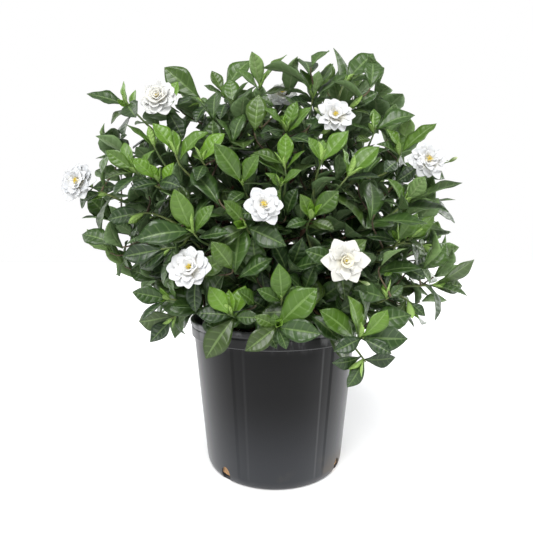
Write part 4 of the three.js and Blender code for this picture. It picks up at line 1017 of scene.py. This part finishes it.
# Behind the outer shoots the crown is packed with older leafy twigs. Each one branches from the
# nearest wood further in and ends in two or three whorls of three leaves, the lower the flatter.
CROWN_HEART = Vector((0, 0, 0.300))
REACH_SPREAD = 0.42  # how far aside a leaf still counts for the crown's reach
FILL_TRIES = 8000
FILL_SPACING = 0.033
FILL_DEPTHS = (0.40, 0.94)  # shares of the crown's reach
FRONT_DEPTH = 0.82
FRONT_TIP_DEPTH = 0.92
TIP_DEPTH = 0.96
SIDE_DEPTH = 0.06  # the crown is fuller on the right and more open on the left
LEAF_GAP = 0.0065
LOWEST_LEAF = 0.246
FILL_WHORLS = ((0.002, 30, 0.048), (-0.009, 60, 0.060), (-0.022, 86, 0.062))  # along, degrees, length
FILL_HALF = 0.235  # half-width of a leaf as a share of its length
FILL_COLUMNS = 4
FILL_ROWS = 8
LEAST_LEAVES = 3  # a spray that finds room for fewer isn't grown
TWIG_HALF = 0.0011
TWIG_SIZES = (1.5, 1.25, 1.1, 0.9)  # from the wood to the tip
TWIG_BROWN = (0.055, 0.038, 0.024, 1)
TWIG_TAN = (0.13, 0.10, 0.06, 1)
SECTORS = ("front", "right", "back", "left")

older_twig, tree, shader = new_material("older twig", rough=0.75, specular=0.3)
patches = stepped(tree, noisy(tree, 60, 4), 0.35, 0.65)
feed(shader, "Base Color", mixed(tree, patches, TWIG_BROWN, TWIG_TAN))


def search_tree(points):
    found = KDTree(len(points))
    for index, point in enumerate(points):
        found.insert(point, index)
    found.balance()
    return found


headings = search_tree([(mark - CROWN_HEART).normalized() for mark in blade_marks])
wood_tree = search_tree(wood_points)


def crown_reach(heading):
    """How far out the leaves reach from the crown's heart, less away from each."""
    found = headings.find_range(heading, REACH_SPREAD)
    reaches = [(blade_marks[index] - CROWN_HEART).length * (1 - 1.7 * away * away)
               for _, index, away in found]
    return max(reaches, default=0.1)


def cell_of(point):
    return tuple(int(part // LEAF_GAP) for part in point)


crowded = defaultdict(list)
for mark in blade_marks:
    crowded[cell_of(mark)].append(mark)


def is_clear(marks):
    """Whether no mark comes close to a leaf or petal that is there already."""
    for mark in marks:
        x, y, z = cell_of(mark)
        for step in product((-1, 0, 1), repeat=3):
            cell = (x + step[0], y + step[1], z + step[2])
            if any((mark - other).length < LEAF_GAP for other in crowded.get(cell, ())):
                return False
    return True


def is_inside(point, share):
    """Whether a point lies inside the crown, and clear of the pot."""
    away = point - CROWN_HEART
    return (away.length < share * crown_reach(away.normalized())
            and (point.z > LOWEST_LEAF or hypot(point.x, point.y) > POT_RIM + 0.008))


def spray_leaves(tip, axis, depth, chance):
    """The blades of one spray that find room round its tip."""
    start = chance.uniform(0, tau)
    found = []
    for whorl, (along, lean, length) in enumerate(FILL_WHORLS):
        for leaf in range(3):
            bearing = start + (leaf + whorl / 2) * tau / 3 + chance.uniform(-0.3, 0.3)
            out = outward(axis, bearing)
            angle = radians(lean + chance.uniform(-12, 12))
            heading = axis * cos(angle) + out * sin(angle)
            size = length * chance.uniform(0.8, 1.15)
            base = tip + axis * along + out * TWIG_HALF
            up = axis * sin(angle) - out * cos(angle)
            rise = size * chance.uniform(0.03, 0.09)
            half = size * FILL_HALF * chance.uniform(0.9, 1.1)
            fold = chance.uniform(0.15, 0.4)
            blade = Blade(base, base + heading * size, heading.cross(up), up, rise, half, fold)
            if is_inside(blade.tip, depth) and is_clear(marks_on(blade)):
                found.append((blade, whorl))
    return found


chance = random.Random(41)
fill_leaves = defaultdict(list)
fill_twigs = defaultdict(list)
for _ in range(FILL_TRIES):
    bearing = chance.uniform(-pi, pi)
    height = chance.uniform(-0.40, 1)
    flat = sqrt(1 - height * height)
    heading = Vector((flat * sin(bearing), -flat * cos(bearing), height))
    in_front = heading.y < -0.3
    depth = FILL_DEPTHS[0] + (FILL_DEPTHS[1] - FILL_DEPTHS[0]) * chance.random() ** 0.6
    if in_front:
        depth = min(depth, FRONT_DEPTH)
    tip = CROWN_HEART + heading * crown_reach(heading) * depth
    if tip.z < LOWEST_LEAF + 0.012 or any((tip - other).length < FILL_SPACING for other in shoot_tips):
        continue
    sway = Vector([chance.uniform(-0.25, 0.25) for _ in range(3)])
    axis = (heading * 0.8 + Vector((0, 0, 0.55)) + sway).normalized()
    tip_depth = FRONT_TIP_DEPTH if in_front else TIP_DEPTH + SIDE_DEPTH * heading.x
    found = spray_leaves(tip, axis, tip_depth, chance)
    if len(found) < LEAST_LEAVES:
        continue
    rooted = [point for point, _, _ in wood_tree.find_n(tip, 400)
              if (tip - point).normalized().dot(axis) > 0.5]
    if not rooted:
        continue
    sector = SECTORS[round(bearing / (pi / 2)) % len(SECTORS)]
    shoot_tips.append(tip)
    fill_twigs[sector].append((rooted[0], tip, axis))
    for blade, whorl in found:
        fill_leaves[sector].append((blade, depth, whorl))
        for mark in marks_on(blade):
            crowded[cell_of(mark)].append(mark)

for sector in SECTORS:
    leaves = new_sheets()
    for blade, depth, whorl in fill_leaves[sector]:
        young = chance.uniform(0, 0.5) * ramp(depth, 0.6, 0.95) * (1 if whorl == 0 else 0.3)
        lay_leaf(leaves, blade, young, chance, FILL_COLUMNS, FILL_ROWS)
    foliage = add_piece("inner_leaves_" + sector, leaves, leaf_upper, leaf_under)
    thickened(foliage, LEAF_THICK)
    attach(foliage, "root")

    twig_piece = new_stalks("inner_twigs_" + sector, TWIG_HALF, 1, older_twig)
    for root, tip, axis in fill_twigs[sector]:
        reach = (tip - root).length
        spots = (root, root.lerp(tip, 0.35), tip - axis * reach * 0.3, tip)
        add_stalk(twig_piece, spots, TWIG_SIZES).resolution_u = 3
    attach(twig_piece, "root")

# The floor is plain and pale. A broad soft light hangs overhead and in front. The studio is
# brightest past both sides and dim towards the camera, so the pot is dark between pale edges.
FLOOR_REACH = 6
FLOOR_COLOUR = (0.90, 0.90, 0.90, 1)
STUDIO_WALLS = (0.42, 0.425, 0.44, 1)
STUDIO_FRONT = (0.06, 0.06, 0.06, 1)
STUDIO_LEFT = (3.2, 3.2, 3.25, 1)
STUDIO_RIGHT = (5.4, 5.4, 5.45, 1)
OVERHEAD_STRENGTH = 4.0
OVERHEAD_SPREAD = radians(42)
OVERHEAD_LEAN = (radians(42), radians(-10), 0)

floor_shape = bmesh.new()
bmesh.ops.create_grid(floor_shape, x_segments=1, y_segments=1, size=FLOOR_REACH)
floor_paint, tree, shader = new_material("pale floor", rough=0.9, **{"Base Color": FLOOR_COLOUR})
floor = add_piece("floor", floor_shape, floor_paint)

world = bpy.data.worlds.new("studio")
world.use_nodes = True
tree = world.node_tree
toward = split(tree, add(tree, "TexCoord").outputs["Generated"])
frontal = stepped(tree, times(tree, toward["Y"], -1.0), 0.0, 0.75)
sideways = stepped(tree, worked(tree, "ABSOLUTE", toward["X"]), 0.35, 0.7)
past_object = stepped(tree, toward["Y"], -0.35, 0.1)
level = falling(tree, worked(tree, "ABSOLUTE", toward["Z"]), 0.45, 0.85)
at_sides = times(tree, times(tree, sideways, past_object), level)
sides = mixed(tree, stepped(tree, toward["X"], -0.3, 0.3), STUDIO_LEFT, STUDIO_RIGHT)
studio = mixed(tree, at_sides, mixed(tree, frontal, STUDIO_WALLS, STUDIO_FRONT), sides)
seen = mixed(tree, add(tree, "LightPath").outputs["Is Camera Ray"], studio, (1, 1, 1, 1))
tree.links.new(seen, tree.nodes["Background"].inputs["Color"])
bpy.context.scene.world = world
bpy.context.scene.view_settings.view_transform = "Standard"

overhead_data = bpy.data.lights.new("overhead light", "SUN")
overhead_data.energy = OVERHEAD_STRENGTH
overhead_data.angle = OVERHEAD_SPREAD
overhead = new_object("overhead light", overhead_data)
overhead.rotation_euler = OVERHEAD_LEAN
